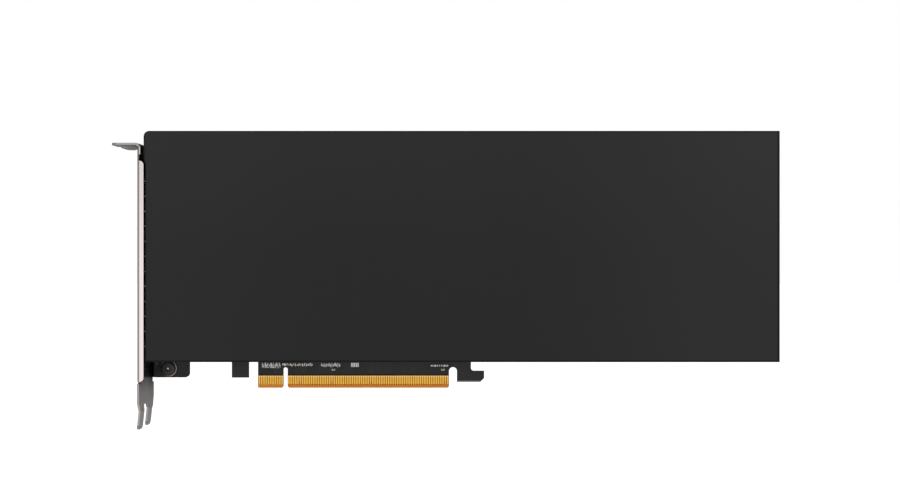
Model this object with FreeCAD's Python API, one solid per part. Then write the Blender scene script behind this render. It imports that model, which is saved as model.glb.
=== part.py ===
"""Passive accelerator card: board, folded bracket, finned cooler, cover and backplate.

Millimetres. X runs along the card with the bracket at low X, Y is the card's thickness with
the component side at low Y, and Z is up. The origin is the middle of the connector's key
notch, on the contacts' lower edge and in the middle of the board's thickness.
"""

import FreeCAD, Part
import math
import os

V = FreeCAD.Vector
tolerance = 1e-6
overshoot = 1.0                # cutters reach this far past what they cut
half_round = 0.98              # share of a half circle that the round end of a slot takes

# ---------------------------------------------------------------- board
board_thickness = 1.57
board_left = -58.0
board_right = 209.0
board_bottom = 12.2            # long lower edge, between the tabs
ear_right = -42.3              # ear that the lower bracket screw goes through
ear_bottom = 4.6
ear_corner = 2.0
tab_left = -23.7               # square support tab
tab_right = -16.2
tab_bottom = 4.5
tongue_left = -12.15           # connector tongues
tongue_right = 72.1
key_width = 1.9
key_top = 9.0
slot_width = 3.5               # between the long tongue and the hook
slot_top = 9.1
hook_bottom = 2.6
hook_right = 87.6
hook_top = 7.5
hook_neck_right = 81.8
hook_chamfer = 1.7
hook_fillet = 1.2
tongue_corner = 0.6

bevel_height = 1.6             # lead-in along the tongues' lower edge
bevel_depth = 0.42
hook_bevel_height = 0.7
hook_bevel_depth = 0.35

# ---------------------------------------------------------------- edge contacts
contact_pitch = 1.0
contacts_before_key = 11
contacts_after_key = 71
first_after_key = 1.5          # X of the first contact past the key
key_pitches = 3                # from the last contact before the key to the first after it
contact_width = 0.7
contact_top = 5.6
contact_bottom = 1.75
contact_thickness = 0.05
sensing_setback = 1.1          # presence contacts mate last
sensing_front = (17, 31, 48, 81)
sensing_back = (1,)

# ---------------------------------------------------------------- cover
cover_left = -56.8
cover_right = 211.9
cover_rise = 5.95              # cover's top above the bracket tab's underside
cover_bottom = 13.4
cover_depth = 34.5             # front plane above the component face
cover_wall = 1.0
cover_bend = 1.0               # outer radius of the folded edges
cover_corner = 2.5             # upper corner beside the bracket
flange_step = 0.9              # cover's edge stands back beside the bracket flange
flange_step_height = 2.4
flange_step_rise = 0.9         # top of the step above the flange
step_corner = 0.8
lower_corner = 0.4
least_bend = 0.15              # inner radius of the folds when the wall is as thick as the bend
tail_lip = 3.5                 # folded lip at the open tail
board_gap = 0.2                # lower wall to the component face
edge_gap = 0.3                 # board and backplate inside the upper wall

# ---------------------------------------------------------------- bracket
bracket_outer = -59.65
bracket_sheet = 0.9
bracket_past_board = 2.67      # far edge past the board's solder face
bracket_bend = 0.5             # inner radius of every fold
flange_right = -56.85
flange_bottom = 5.1
flange_drop = 6.7              # flange's upper end below the tab's underside
flange_corner = 1.8
relief_depth = 3.0             # slit under the flange
relief_left = 0.7              # fold left beside the notch over the flange
upper_relief = 2.7
lower_relief = 0.9
tab_underside = 105.2
tab_reach = 11.0
tab_overhang = 4.1             # past the plate's far edge
tab_lobe_corner = 3.0
screw_notch = 4.2
mouth_flare = 1.4              # widening of the near notch towards the tab's tip, on each side
mouth_corner = 1.2
throat_corner = 1.0
throat_round = 0.9             # share of a half circle at the near notch's end
overhang_setback = 0.5         # overhang past the tab's fold
notch_offset = 5.7             # notch centre from the plate's outer face
slot_pitch = 20.32             # two card slots
far_notch_inset = 2.6          # far notch centre from the top tab's far end
tongue_width = 10.19
prong_tip = -15.25
prong_tip_corner = 2.2
prong_gap_top = -5.2
prong_gap_corner = 2.4
shoulder_top = -3.7
shoulder_bottom = -8.3
shoulder_upper_corner = 1.0
shoulder_lower_corner = 2.0
joggle_top = -4.0
joggle_bottom = -7.5
joggle_shift = 0.7
joggle_bend = 2.0
prong_lean = 0.8
foot_width = 8.0
foot_right = -46.4
foot_screw_inset = 5.2         # screw from the foot's free end
foot_relief = 0.9              # slits in the plate beside the upper foot
lower_foot_relief = 2.0
foot_corner = 1.5
lower_foot = 8.6               # height of the lower foot's screw
upper_foot_drop = 7.2          # below the tab's underside

vent_flats = 5.0               # six-sided air holes
vent_web = 1.5
vent_lower_margin = 11.5       # flat plate inside the flange's lower and upper ends
vent_upper_margin = 2.5
vent_near_margin = 2.4         # flat plate between the flange fold and the first row
vent_far_margin = 1.5          # flat plate between the last row and the screw heads

# ---------------------------------------------------------------- base frame
frame_left = -42.0
frame_height = 6.4             # component face to the cooler's seat
frame_skin = 1.5
frame_rail = 7.0
frame_wall = 3.0
frame_right = 194.0
window_clearance = 2.55        # past the shafts of the package's four screws
arm_width = 8.0                # arms that reach the bracket
lower_arm_gap = 21.4           # from each arm to the board screw next to it
upper_arm_gap = 14.0
boss_length = 12.0             # tail bosses for the chassis retainer
boss_width = 10.0
boss_height = 12.4
retainer_hole = 1.25           # tapped for a 3 mm screw
retainer_depth = 9.0
retainer_height = 7.2          # hole centre above the component face

# ---------------------------------------------------------------- cooler
chamber_thickness = 3.0
chamber_left = -40.0
chamber_right = 188.0
chamber_side_gap = 0.6
pedestal_gap = 1.3             # pedestal inside the stiffener ring
fin_pitch = 2.05
fin_sheet = 0.35
fin_gap = 0.05
fin_cover_gap = 0.3
fin_inset = 1.0

# ---------------------------------------------------------------- package
package_x = 60.0
substrate_thickness = 1.6
ring_width = 4.2
ring_clearance = 1.6           # memory stacks to the ring
ring_thickness = 0.6
die_width = 22.0
die_height = 26.0
die_thickness = 0.75
stack_width = 7.6
stack_height = 11.0
stack_gap = 0.6
interface_thickness = 0.15

# ---------------------------------------------------------------- power stages round the package
phase_offset = 52.0            # each column of inductors from the package's centre
phase_sides = (1, -1)          # the switches stand beyond the inductors
phase_count = 8
phase_margin = 3.6             # end capacitors to the frame's rails
inductor_size = 7.2
inductor_height = 4.0
inductor_chamfer = 0.8
stage_width = 5.0
stage_length = 6.0
stage_height = 0.8
stage_offset = 8.4
pad_thickness = 1.0
pad_margin = 0.4
capacitor_width = 4.3
capacitor_length = 7.3
capacitor_height = 2.8
capacitor_offset = 16.0

# ---------------------------------------------------------------- small parts
chip_size = 10.0
chip_height = 1.2
chip_x = 150.0
chip_z = 45.0
flash_length = 6.0
flash_width = 5.0
flash_height = 0.8
flash_x = 150.0
flash_z = 60.0
crystal_length = 3.2
crystal_width = 2.5
crystal_height = 0.8
crystal_x = 150.0
crystal_z = 34.0
coupling_count = 32
coupling_first = 3.0
coupling_pitch = 2.15
coupling_z = 12.9
chip_part_length = 1.0         # smallest two-ended parts
chip_part_width = 0.5
chip_part_height = 0.45
passive_places = ((3.2, 10.2), (5.0, 10.0), (6.9, 10.3), (8.9, 10.0), (10.9, 10.1),
                  (16.4, 10.2), (18.7, 10.1), (21.1, 8.0), (23.2, 10.3), (65.2, 9.8),
                  (67.5, 9.8), (69.4, 8.0), (70.9, 9.9))

# ---------------------------------------------------------------- backplate and bolster
standoff_height = 1.0
land_reach = 3.0               # land past the screws' centres
backplate_thickness = 1.0
backplate_left = -44.0
backplate_bottom = 13.4
backplate_corner = 2.0
backplate_chamfer = 0.25
window_corner = 5.0
film_thickness = 0.2
film_margin = 1.5
film_gap = 0.5
bolster_margin = 6.5           # plate past the retention screws' centres
bolster_gap = 1.5              # bolster to the backplate's window
bolster_corner = 5.0
bolster_thickness = 1.1
bolster_recess = 0.4
bolster_edge = 8.0             # full thickness left round the recess
bolster_pad_size = 30.0
bolster_pad_thickness = 0.6
retention_offset = 31.0        # screws from the package's centre

# ---------------------------------------------------------------- screws
stem_sides = 12                # hidden shafts and bores
head_sides = 18                # screw heads and their seats
socket_share = 0.6             # socket depth as a share of a raised head's height
flat_socket_depth = 0.7
m3_shaft = 1.45
m25_shaft = 1.2
shaft_gap = 0.05
board_head_radius = 3.1
board_head_height = 2.2
board_shaft_length = 4.4
ring_outer = 3.55
ring_thickness_copper = 0.05
flat_head_radius = 2.2
flat_head_socket = 1.5
head_socket = 2.0
board_hole_gap = 0.15          # board holes are a little larger than the shafts
plate_head_radius = 2.3        # low heads on the backplate
plate_head_height = 0.6
board_head_crown = 0.7
rail_screw_length = 7.0
cover_screw_length = 4.5
bracket_screw_length = 5.0
retention_head_radius = 2.6
retention_head_height = 0.9
retention_grip = 1.8           # thread inside the vapour chamber's plate
rail_screw_places = (-35.0, 100.0, 203.0)
cover_screw_places = (0.0, 185.0)

# ---------------------------------------------------------------- power inlet
inlet_columns = 4
inlet_rows = 2
inlet_pitch = 4.2
inlet_wall = 0.75
inlet_cavity = 3.45
inlet_length = 13.0
inlet_cavity_depth = 9.5
inlet_cavity_chamfer = 0.8
inlet_face = 209.8
inlet_z = 80.0
latch_width = 4.6
latch_height = 1.5
latch_length = 5.0
latch_inset = 0.6              # ramp from the open face
latch_lead_in = 0.6            # ramp's height at its low end
pin_size = 0.9
pin_reach = 6.5                # pin standing in its cavity

# ---------------------------------------------------------------- levels that the pieces share
component_y = -board_thickness / 2
solder_y = board_thickness / 2
front_y = component_y - cover_depth
bracket_far_y = solder_y + bracket_past_board
cover_top = tab_underside + cover_rise
flange_top = tab_underside - flange_drop
upper_foot = tab_underside - upper_foot_drop
package_z = (cover_bottom + cover_top) / 2
bracket_inner = bracket_outer + bracket_sheet
cover_inner_top = cover_top - cover_wall
cover_inner_bottom = cover_bottom + cover_wall
board_top = cover_inner_top - edge_gap
seat_y = component_y - frame_height
chamber_y = seat_y - chamber_thickness
rail_y = (component_y + seat_y) / 2
lower_rail_z = cover_inner_bottom + frame_rail / 2
upper_rail_z = cover_inner_top - frame_rail / 2
backplate_inner_y = solder_y + standoff_height
backplate_outer_y = backplate_inner_y + backplate_thickness
substrate_y = component_y - substrate_thickness
die_y = substrate_y - die_thickness
pedestal_y = die_y - interface_thickness
bolster_inner_y = solder_y + bolster_pad_thickness
bolster_outer_y = bolster_inner_y + bolster_thickness
ear_screw_x = foot_right - foot_screw_inset
lower_arm = lower_foot + lower_arm_gap
upper_arm = upper_foot - upper_arm_gap
ring_opening = die_width + 2 * (stack_gap + stack_width + ring_clearance)
substrate_size = ring_opening + 2 * ring_width
pedestal_size = ring_opening - 2 * pedestal_gap
bolster_size = 2 * (retention_offset + bolster_margin)
backplate_window = bolster_size + 2 * bolster_gap
frame_window = 2 * (retention_offset + m3_shaft + window_clearance)
phase_columns = [(package_x + side * phase_offset, side) for side in phase_sides]
retention_places = [(package_x + i * retention_offset, package_z + j * retention_offset)
                    for i in (-1, 1) for j in (-1, 1)]
column_room = cover_inner_top - cover_inner_bottom - 2 * (frame_rail + phase_margin)
phase_pitch = (column_room - capacitor_length) / (phase_count - 1)
column_height = (phase_count - 1) * phase_pitch


# ---------------------------------------------------------------- shapes
def block(x, y, z):
    """Box between two values on each axis, given in either order."""
    low = V(min(x), min(y), min(z))
    high = V(max(x), max(y), max(z))
    size = high - low
    return Part.makeBox(size.x, size.y, size.z, low)


def around(centre, width):
    """The two ends of a width set about its centre."""
    return (centre - width / 2, centre + width / 2)


def rounded_wire(corners, place):
    """Closed wire through (u, v, radius) corners, each rounded by a tangent arc."""
    points = [V(u, v, 0) for u, v, radius in corners]
    stations = []
    for index, (u, v, radius) in enumerate(corners):
        here = points[index]
        back = (points[index - 1] - here).normalize()
        ahead = (points[(index + 1) % len(points)] - here).normalize()
        if radius <= 0:
            stations.append((here, None, here))
            continue
        half = back.getAngle(ahead) / 2
        inward = V(back + ahead).normalize()
        reach = radius / math.tan(half)
        middle = here + inward * (radius / math.sin(half) - radius)
        stations.append((here + back * reach, middle, here + ahead * reach))
    edges = []
    for index, (start, middle, end) in enumerate(stations):
        if middle is not None:
            edges.append(Part.Arc(place(start), place(middle), place(end)).toShape())
        following = stations[(index + 1) % len(stations)][0]
        if (following - end).Length > tolerance:
            edges.append(Part.LineSegment(place(end), place(following)).toShape())
    return Part.Wire(edges)


def plate_xz(corners, y0, y1):
    """Plate with an outline in X and Z, from y0 to y1."""
    wire = rounded_wire(corners, lambda p: V(p.x, y0, p.y))
    return Part.Face(wire).extrude(V(0, y1 - y0, 0))


def plate_yz(corners, x0, x1):
    """Plate with an outline in Y and Z, from x0 to x1."""
    wire = rounded_wire(corners, lambda p: V(x0, p.x, p.y))
    return Part.Face(wire).extrude(V(x1 - x0, 0, 0))


def plate_xy(corners, z0, z1):
    """Plate with an outline in X and Y, from z0 to z1."""
    wire = rounded_wire(corners, lambda p: V(p.x, p.y, z0))
    return Part.Face(wire).extrude(V(0, 0, z1 - z0))


def rectangle(u, v, radius=0.0):
    """Corners of a rectangle with equally rounded corners."""
    return [(u[0], v[0], radius), (u[1], v[0], radius), (u[1], v[1], radius), (u[0], v[1], radius)]


def sheet_corners(path, sheet):
    """Corners of a folded sheet seen on edge.

    The path (u, v, inner radius) follows one face and the sheet lies to its left. At each fold
    the inside gets the inner radius and the outside the same radius plus the sheet.
    """
    points = [V(u, v, 0) for u, v, radius in path]
    headings = [(b - a).normalize() for a, b in zip(points, points[1:])]
    lefts = [V(-h.y, h.x, 0) for h in headings]
    along = []
    beside = []
    for index, (u, v, radius) in enumerate(path):
        if index == 0 or index == len(path) - 1:
            left = lefts[0] if index == 0 else lefts[-1]
            along.append((u, v, 0))
            offset = points[index] + left * sheet
            beside.append((offset.x, offset.y, 0))
            continue
        before = lefts[index - 1]
        after = lefts[index]
        offset = points[index] + (before + after) * (sheet / (1 + before.dot(after)))
        turns_left = headings[index - 1].cross(headings[index]).z > 0
        along.append((u, v, radius + sheet if turns_left else radius))
        beside.append((offset.x, offset.y, radius if turns_left else radius + sheet))
    return along + beside[::-1]


def rod(radius, start, direction, length):
    """Cylinder from a start point along a direction."""
    return Part.makeCylinder(radius, length, V(*start), V(*direction))


def ring_corners(radius, sides):
    """Corners of a regular polygon that stands for a circle."""
    step = 2 * math.pi / sides
    return [(radius * math.cos(k * step), radius * math.sin(k * step), 0) for k in range(sides)]


def stem(radius, start, direction, length):
    """Screw shaft or its bore: a prism with a few sides, which keeps hidden threads light."""
    return turned(plate_xy(ring_corners(radius, stem_sides), 0, length), start, direction)


def taper(low_radius, high_radius, low, high):
    """Conical part of a screw head or of its seat, with a few sides, between two heights."""
    lower = [V(u, v, low) for u, v, corner in ring_corners(low_radius, head_sides)]
    upper = [V(u, v, high) for u, v, corner in ring_corners(high_radius, head_sides)]
    rings = [lower[::-1], upper]
    for k in range(head_sides):
        rings.append([lower[k - 1], lower[k], upper[k], upper[k - 1]])
    faces = [Part.Face(Part.makePolygon(ring + ring[:1])) for ring in rings]
    shell = Part.makeShell(faces)
    shell.sewShape()
    return Part.makeSolid(shell)


def cut_all(shape, tools):
    """Shape less every tool."""
    return shape.cut(Part.makeCompound(tools)) if tools else shape


def join(shapes):
    """One solid from touching or overlapping shapes, with flush faces merged."""
    return shapes[0].fuse(shapes[1:]).removeSplitter()


def turned(shape, place, direction):
    """Shape built along +Z from the origin, put at a place and pointed along a direction."""
    shape.Placement = FreeCAD.Placement(V(*place), FreeCAD.Rotation(V(0, 0, 1), V(*direction)))
    return shape


def socket(flats, depth):
    """Six-sided driver socket, cut downwards into a head from the origin."""
    radius = flats / math.sqrt(3)
    corners = [(radius * math.cos(math.radians(60 * k)), radius * math.sin(math.radians(60 * k)), 0)
               for k in range(6)]
    return plate_xy(corners, 0, depth)


def flat_head_height(shaft):
    """Height of a 90 degree countersunk head over its shaft."""
    return flat_head_radius - shaft


def flat_screw(place, direction, shaft, length):
    """Countersunk screw whose head is flush at the place, driven along the direction."""
    head = taper(flat_head_radius, shaft, 0, flat_head_height(shaft))
    thread = stem(shaft, (0, 0, 0), (0, 0, 1), length)
    screw = head.fuse(thread).cut(socket(flat_head_socket, flat_socket_depth))
    return turned(screw.removeSplitter(), place, direction)


def flat_seat(place, direction, shaft, length):
    """Hole for a countersunk screw: its cone, and a bore with the named clearance."""
    head = taper(flat_head_radius, shaft, 0, flat_head_height(shaft))
    bore = stem(shaft + shaft_gap, (0, 0, 0), (0, 0, 1), length + shaft_gap)
    return turned(head.fuse(bore), place, direction)


def pan_screw(place, direction, head_radius, head_height, shaft, length, crown=0.0):
    """Screw whose head sits on the place, with its shaft along the direction."""
    head = plate_xy(ring_corners(head_radius, head_sides), crown - head_height, 0)
    if crown > 0:
        head = head.fuse(taper(head_radius - crown, head_radius, -head_height, crown - head_height))
    thread = stem(shaft, (0, 0, 0), (0, 0, 1), length)
    recess = socket(head_socket, head_height * socket_share)
    recess.translate(V(0, 0, -head_height))
    return turned(head.fuse(thread).cut(recess).removeSplitter(), place, direction)


# ---------------------------------------------------------------- board and contacts
def edge_bevel(x, height, depth, bottom):
    """Wedges that bevel both faces of the board along a lower edge."""
    wedges = []
    for side in (-1, 1):
        face = side * board_thickness / 2
        inner = face - side * depth
        corners = [(face, bottom + height, 0), (inner, bottom, 0), (inner, bottom - overshoot, 0),
                   (face + side * overshoot, bottom - overshoot, 0),
                   (face + side * overshoot, bottom + height, 0)]
        wedges.append(plate_yz(corners, x[0], x[1]))
    return wedges


def make_circuit_board():
    """Board outline with ear, support tab, two tongues and the retention hook."""
    half_key = key_width / 2
    hook_left = tongue_right + slot_width
    half_slot = slot_width / 2
    outline = [
        (board_left, ear_bottom, 0),
        (ear_right, ear_bottom, ear_corner),
        (ear_right, board_bottom, 0),
        (tab_left, board_bottom, 0),
        (tab_left, tab_bottom, 0),
        (tab_right, tab_bottom, 0),
        (tab_right, board_bottom, 0),
        (tongue_left, board_bottom, 0),
        (tongue_left, 0, 0),
        (-half_key - tongue_corner, 0, 0),
        (-half_key, tongue_corner, 0),
        (-half_key, key_top, half_key * half_round),
        (half_key, key_top, half_key * half_round),
        (half_key, tongue_corner, 0),
        (half_key + tongue_corner, 0, 0),
        (tongue_right - tongue_corner, 0, 0),
        (tongue_right, tongue_corner, 0),
        (tongue_right, slot_top, half_slot * half_round),
        (hook_left, slot_top, half_slot * half_round),
        (hook_left, hook_bottom, 0),
        (hook_right - hook_chamfer, hook_bottom, 0),
        (hook_right, hook_bottom + hook_chamfer, 0),
        (hook_right, hook_top, 0),
        (hook_neck_right, hook_top, hook_fillet),
        (hook_neck_right, board_bottom, 0),
        (board_right, board_bottom, 0),
        (board_right, board_top, 0),
        (board_left, board_top, 0),
    ]
    board = plate_xz(outline, component_y, solder_y)
    tools = edge_bevel((tongue_left - overshoot, tongue_right + half_slot), bevel_height, bevel_depth, 0)
    tools += edge_bevel((hook_left - half_slot, hook_right + overshoot), hook_bevel_height,
                        hook_bevel_depth, hook_bottom)
    for height in (lower_foot, upper_foot):
        tools.append(stem(m3_shaft + board_hole_gap, (ear_screw_x, component_y, height), (0, 1, 0),
                          board_thickness))
    for x, z in retention_places:
        tools.append(stem(m3_shaft + board_hole_gap, (x, component_y, z), (0, 1, 0), board_thickness))
    for x, z in rail_screw_spots():
        tools.append(stem(m25_shaft + board_hole_gap, (x, component_y, z), (0, 1, 0), board_thickness))
    return [cut_all(board, tools)]


def contact_positions():
    """Number and X of each contact, counted from the bracket's end."""
    last_before = first_after_key - key_pitches * contact_pitch
    places = []
    for k in range(contacts_before_key):
        places.append((k + 1, last_before - (contacts_before_key - 1 - k) * contact_pitch))
    for k in range(contacts_after_key):
        places.append((contacts_before_key + 1 + k, first_after_key + k * contact_pitch))
    return places


def make_edge_contacts(face, outward, sensing):
    """Gold contacts on one face of the tongues; the presence contacts start higher."""
    pads = []
    for number, x in contact_positions():
        bottom = contact_bottom + (sensing_setback if number in sensing else 0)
        y = (face, face + outward * contact_thickness)
        pads.append(block(around(x, contact_width), y, (bottom, contact_top)))
    return pads


def chip_part(x, z):
    """Smallest two-ended part lying along X on the component face."""
    return block(around(x, chip_part_length), (component_y, component_y - chip_part_height),
                 around(z, chip_part_width))


def make_coupling_capacitors():
    """Row of signal coupling capacitors above the long tongue."""
    return [chip_part(coupling_first + k * coupling_pitch, coupling_z) for k in range(coupling_count)]


def make_small_passives():
    """Resistors and capacitors scattered above the contacts."""
    return [chip_part(x, z) for x, z in passive_places]


# ---------------------------------------------------------------- bracket
def make_io_bracket():
    """Folded sheet: vented plate, near flange, top tab, two feet and two joggled prongs."""
    fold = bracket_sheet + bracket_bend
    tab_tip = bracket_outer - tab_reach
    tab_far_y = bracket_far_y + tab_overhang
    side = sheet_corners([
        (tab_tip, tab_underside, 0),
        (bracket_outer, tab_underside, bracket_bend),
        (bracket_outer, joggle_top, joggle_bend),
        (bracket_outer + joggle_shift, joggle_bottom, joggle_bend),
        (bracket_outer + joggle_shift - prong_lean, prong_tip, 0)], bracket_sheet)
    sheet = plate_xz(side, front_y, tab_far_y)

    near_prong = (front_y, front_y + tongue_width)
    far_prong = (front_y + slot_pitch, front_y + slot_pitch + tongue_width)
    plate_top = tab_underside + bracket_sheet + overshoot
    outline = [
        (front_y + fold, plate_top, 0),
        (front_y + fold, flange_bottom, 0),
        (front_y + relief_depth, flange_bottom, 0),
        (front_y + relief_depth, flange_bottom - lower_relief, 0),
        (front_y, flange_bottom - lower_relief, 0),
        (near_prong[0], prong_tip, prong_tip_corner),
        (near_prong[1], prong_tip, prong_tip_corner),
        (near_prong[1], prong_gap_top, prong_gap_corner),
        (far_prong[0], prong_gap_top, prong_gap_corner),
        (far_prong[0], prong_tip, prong_tip_corner),
        (far_prong[1], prong_tip, prong_tip_corner),
        (far_prong[1], shoulder_bottom, shoulder_lower_corner),
        (bracket_far_y, shoulder_top, shoulder_upper_corner),
        (bracket_far_y, plate_top, 0),
    ]
    plate = plate_yz(outline, bracket_outer - overshoot, bracket_inner + overshoot)
    notch = screw_notch / 2
    notch_x = bracket_outer - notch_offset
    far_notch_y = tab_far_y - far_notch_inset
    near_notch_y = far_notch_y - slot_pitch
    mouth = notch + mouth_flare
    tab = [
        (bracket_inner, front_y, 0),
        (bracket_inner, bracket_far_y, 0),
        (bracket_outer - bracket_bend - overhang_setback, bracket_far_y, 0),
        (bracket_outer - bracket_bend - overhang_setback, tab_far_y, 0),
        (notch_x + notch, tab_far_y, 0),
        (notch_x + notch, far_notch_y - notch, notch * half_round),
        (notch_x - notch, far_notch_y - notch, notch * half_round),
        (notch_x - notch, tab_far_y, 0),
        (tab_tip, tab_far_y, tab_lobe_corner),
        (tab_tip, near_notch_y + mouth, mouth_corner),
        (notch_x, near_notch_y + notch, throat_corner),
        (notch_x + notch, near_notch_y + notch, notch * throat_round),
        (notch_x + notch, near_notch_y - notch, notch * throat_round),
        (notch_x, near_notch_y - notch, throat_corner),
        (tab_tip, near_notch_y - mouth, mouth_corner),
        (tab_tip, front_y, tab_lobe_corner),
    ]
    tab_level = (tab_underside - bracket_bend, tab_underside + bracket_sheet + overshoot)
    body = sheet.common(join([
        plate.common(block((bracket_outer - overshoot, bracket_inner + overshoot), (front_y, tab_far_y),
                           (prong_tip, tab_level[0]))),
        plate_xy(tab, *tab_level)]))

    flange_section = sheet_corners([
        (flange_right, front_y + bracket_sheet, 0),
        (bracket_inner, front_y + bracket_sheet, bracket_bend),
        (bracket_inner, front_y + 2 * fold, 0)], bracket_sheet)
    relief_x = bracket_outer + relief_left
    stub_bottom = flange_top + upper_relief
    flange = plate_xy(flange_section, flange_bottom, tab_level[0]).common(plate_xz([
        (bracket_outer, flange_bottom, 0),
        (flange_right, flange_bottom, flange_corner),
        (flange_right, flange_top, flange_corner),
        (relief_x, flange_top, 0),
        (relief_x, stub_bottom, 0),
        (bracket_outer + fold, stub_bottom, 0),
        (bracket_outer + fold, tab_level[0], 0),
        (bracket_outer, tab_level[0], 0)], front_y, front_y + 2 * fold))

    foot_section = sheet_corners([
        (bracket_inner, solder_y - 2 * fold, 0),
        (bracket_inner, solder_y, bracket_bend),
        (foot_right, solder_y, 0)], bracket_sheet)
    feet = []
    tools = []
    for height, relief in ((lower_foot, lower_foot_relief), (upper_foot, foot_relief)):
        z = around(height, foot_width)
        mask = plate_xz([(bracket_outer, z[0], 0), (foot_right - foot_corner, z[0], 0),
                         (foot_right, z[0] + foot_corner, 0), (foot_right, z[1] - foot_corner, 0),
                         (foot_right - foot_corner, z[1], 0), (bracket_outer, z[1], 0)],
                        solder_y - 2 * fold, solder_y + bracket_sheet)
        feet.append(plate_xy(foot_section, *z).common(mask))
        tools.append(block((bracket_outer - overshoot, bracket_inner + overshoot),
                           (solder_y - bracket_bend, bracket_far_y + overshoot),
                           around(height, foot_width + 2 * relief)))
    body = cut_all(body, tools)
    body = join([body, flange] + feet)

    holes = vent_holes(front_y + fold + vent_near_margin)
    for height in (lower_foot, upper_foot):
        holes.append(stem(m3_shaft + shaft_gap, (ear_screw_x, solder_y, height), (0, 1, 0),
                          bracket_sheet))
    for height in (lower_arm, upper_arm):
        holes.append(flat_seat((bracket_outer, rail_y, height), (1, 0, 0), m25_shaft,
                               bracket_screw_length))
    return [cut_all(body, holes)]


def vent_holes(first_edge):
    """Six-sided air holes in staggered rows across the bracket's plate."""
    pitch = vent_flats + vent_web
    row_step = pitch * math.sqrt(3) / 2
    radius = vent_flats / math.sqrt(3)
    room = rail_y - flat_head_radius - vent_far_margin - first_edge - 2 * radius
    vent_bottom = flange_bottom + vent_lower_margin
    vent_top = flange_top - vent_upper_margin
    holes = []
    for row in range(int(room / row_step) + 1):
        y = first_edge + radius + row * row_step
        start = vent_bottom + vent_flats / 2 + (pitch / 2 if row % 2 else 0)
        count = int((vent_top - start - vent_flats / 2) / pitch) + 1
        for k in range(count):
            centre = start + k * pitch
            corners = [(y + radius * math.cos(math.radians(60 * s)),
                        centre + radius * math.sin(math.radians(60 * s)), 0) for s in range(6)]
            holes.append(plate_yz(corners, bracket_outer - overshoot, bracket_inner + overshoot))
    return holes


# ---------------------------------------------------------------- cover
def cover_screw_spots():
    """Place and direction of the screws in the cover's upper and lower walls."""
    spots = []
    for x in cover_screw_places:
        spots.append(((x, rail_y, cover_bottom), (0, 0, 1)))
        spots.append(((x, rail_y, cover_top), (0, 0, -1)))
    return spots


def make_shroud():
    """Cover folded round the component side, open towards the board, bracket and tail."""
    outer = block((cover_left - overshoot, cover_right), (front_y, backplate_outer_y),
                  (cover_bottom, cover_top))
    folds = [edge for edge in outer.Edges
             if edge.BoundBox.YMax < front_y + tolerance and edge.BoundBox.XMax > cover_right - tolerance]
    outer = outer.makeFillet(cover_bend, folds)
    inner_bend = max(cover_bend - cover_wall, least_bend)
    inner = block((cover_left - 2 * overshoot, cover_right - cover_wall),
                  (front_y + cover_wall, backplate_outer_y + overshoot),
                  (cover_inner_bottom, cover_inner_top))
    folds = [edge for edge in inner.Edges if edge.BoundBox.YMax < front_y + cover_wall + tolerance
             and edge.BoundBox.XMax > cover_right - cover_wall - tolerance]
    inner = inner.makeFillet(inner_bend, folds)
    flange_edge = cover_left + flange_step
    step_bottom = flange_top + flange_step_rise - flange_step_height
    outline = [
        (flange_edge, cover_bottom, lower_corner),
        (cover_right, cover_bottom, 0),
        (cover_right, cover_top, 0),
        (cover_left, cover_top, cover_corner),
        (cover_left, step_bottom + flange_step_height, step_corner),
        (flange_edge, step_bottom, step_corner),
    ]
    cover = outer.cut(inner).common(plate_xz(outline, front_y, backplate_outer_y))
    tools = [
        block((cover_right - 2 * cover_wall, cover_right + overshoot),
              (front_y + tail_lip, backplate_outer_y + overshoot),
              (cover_inner_bottom, cover_inner_top)),
        block((cover_left - overshoot, cover_right + overshoot),
              (component_y - board_gap, backplate_outer_y + overshoot),
              (cover_bottom - overshoot, cover_inner_bottom + overshoot)),
    ]
    for place, direction in cover_screw_spots():
        tools.append(flat_seat(place, direction, m25_shaft, cover_wall))
    return [cut_all(cover, tools)]


# ---------------------------------------------------------------- base frame
def make_base_frame():
    """Cast frame: skin over the power stages, two rails, tail bosses and arms to the bracket."""
    z = (cover_inner_bottom, cover_inner_top)
    body = block((frame_left, frame_right), (component_y, seat_y), z)
    pocket = block((frame_left + frame_wall, frame_right - frame_wall), (component_y, seat_y + frame_skin),
                   (z[0] + frame_rail, z[1] - frame_rail))
    parts = [body.cut(pocket)]
    for low, high in ((z[0], z[0] + frame_rail), (z[1] - frame_rail, z[1])):
        parts.append(block((frame_right - frame_wall, cover_right), (component_y, seat_y), (low, high)))
    for low, high in ((z[0], z[0] + boss_width), (z[1] - boss_width, z[1])):
        parts.append(block((cover_right - boss_length, cover_right),
                           (component_y, component_y - boss_height), (low, high)))
    for height in (lower_arm, upper_arm):
        parts.append(block((bracket_inner, frame_left + frame_wall), (component_y, seat_y),
                           around(height, arm_width)))
    for column, side in phase_columns:
        parts.append(block(around(column + side * stage_offset, stage_width),
                           (component_y - stage_height - pad_thickness, seat_y + frame_skin),
                           around(package_z, column_height + stage_length)))
    frame = join(parts)

    tools = [block(around(package_x, frame_window), (component_y, seat_y),
                   around(package_z, frame_window))]
    depth = rail_screw_length - board_thickness - standoff_height - backplate_thickness + shaft_gap
    for x, height in rail_screw_spots():
        tools.append(stem(m25_shaft + shaft_gap, (x, component_y, height), (0, -1, 0), depth))
    for place, direction in cover_screw_spots():
        tools.append(flat_seat(place, direction, m25_shaft, cover_screw_length))
    for height in (lower_arm, upper_arm):
        tools.append(flat_seat((bracket_outer, rail_y, height), (1, 0, 0), m25_shaft,
                               bracket_screw_length))
    for height in (z[0] + boss_width / 2, z[1] - boss_width / 2):
        tools.append(rod(retainer_hole, (cover_right, component_y - retainer_height, height),
                         (-1, 0, 0), retainer_depth))
    return [cut_all(frame, tools)]


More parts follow.
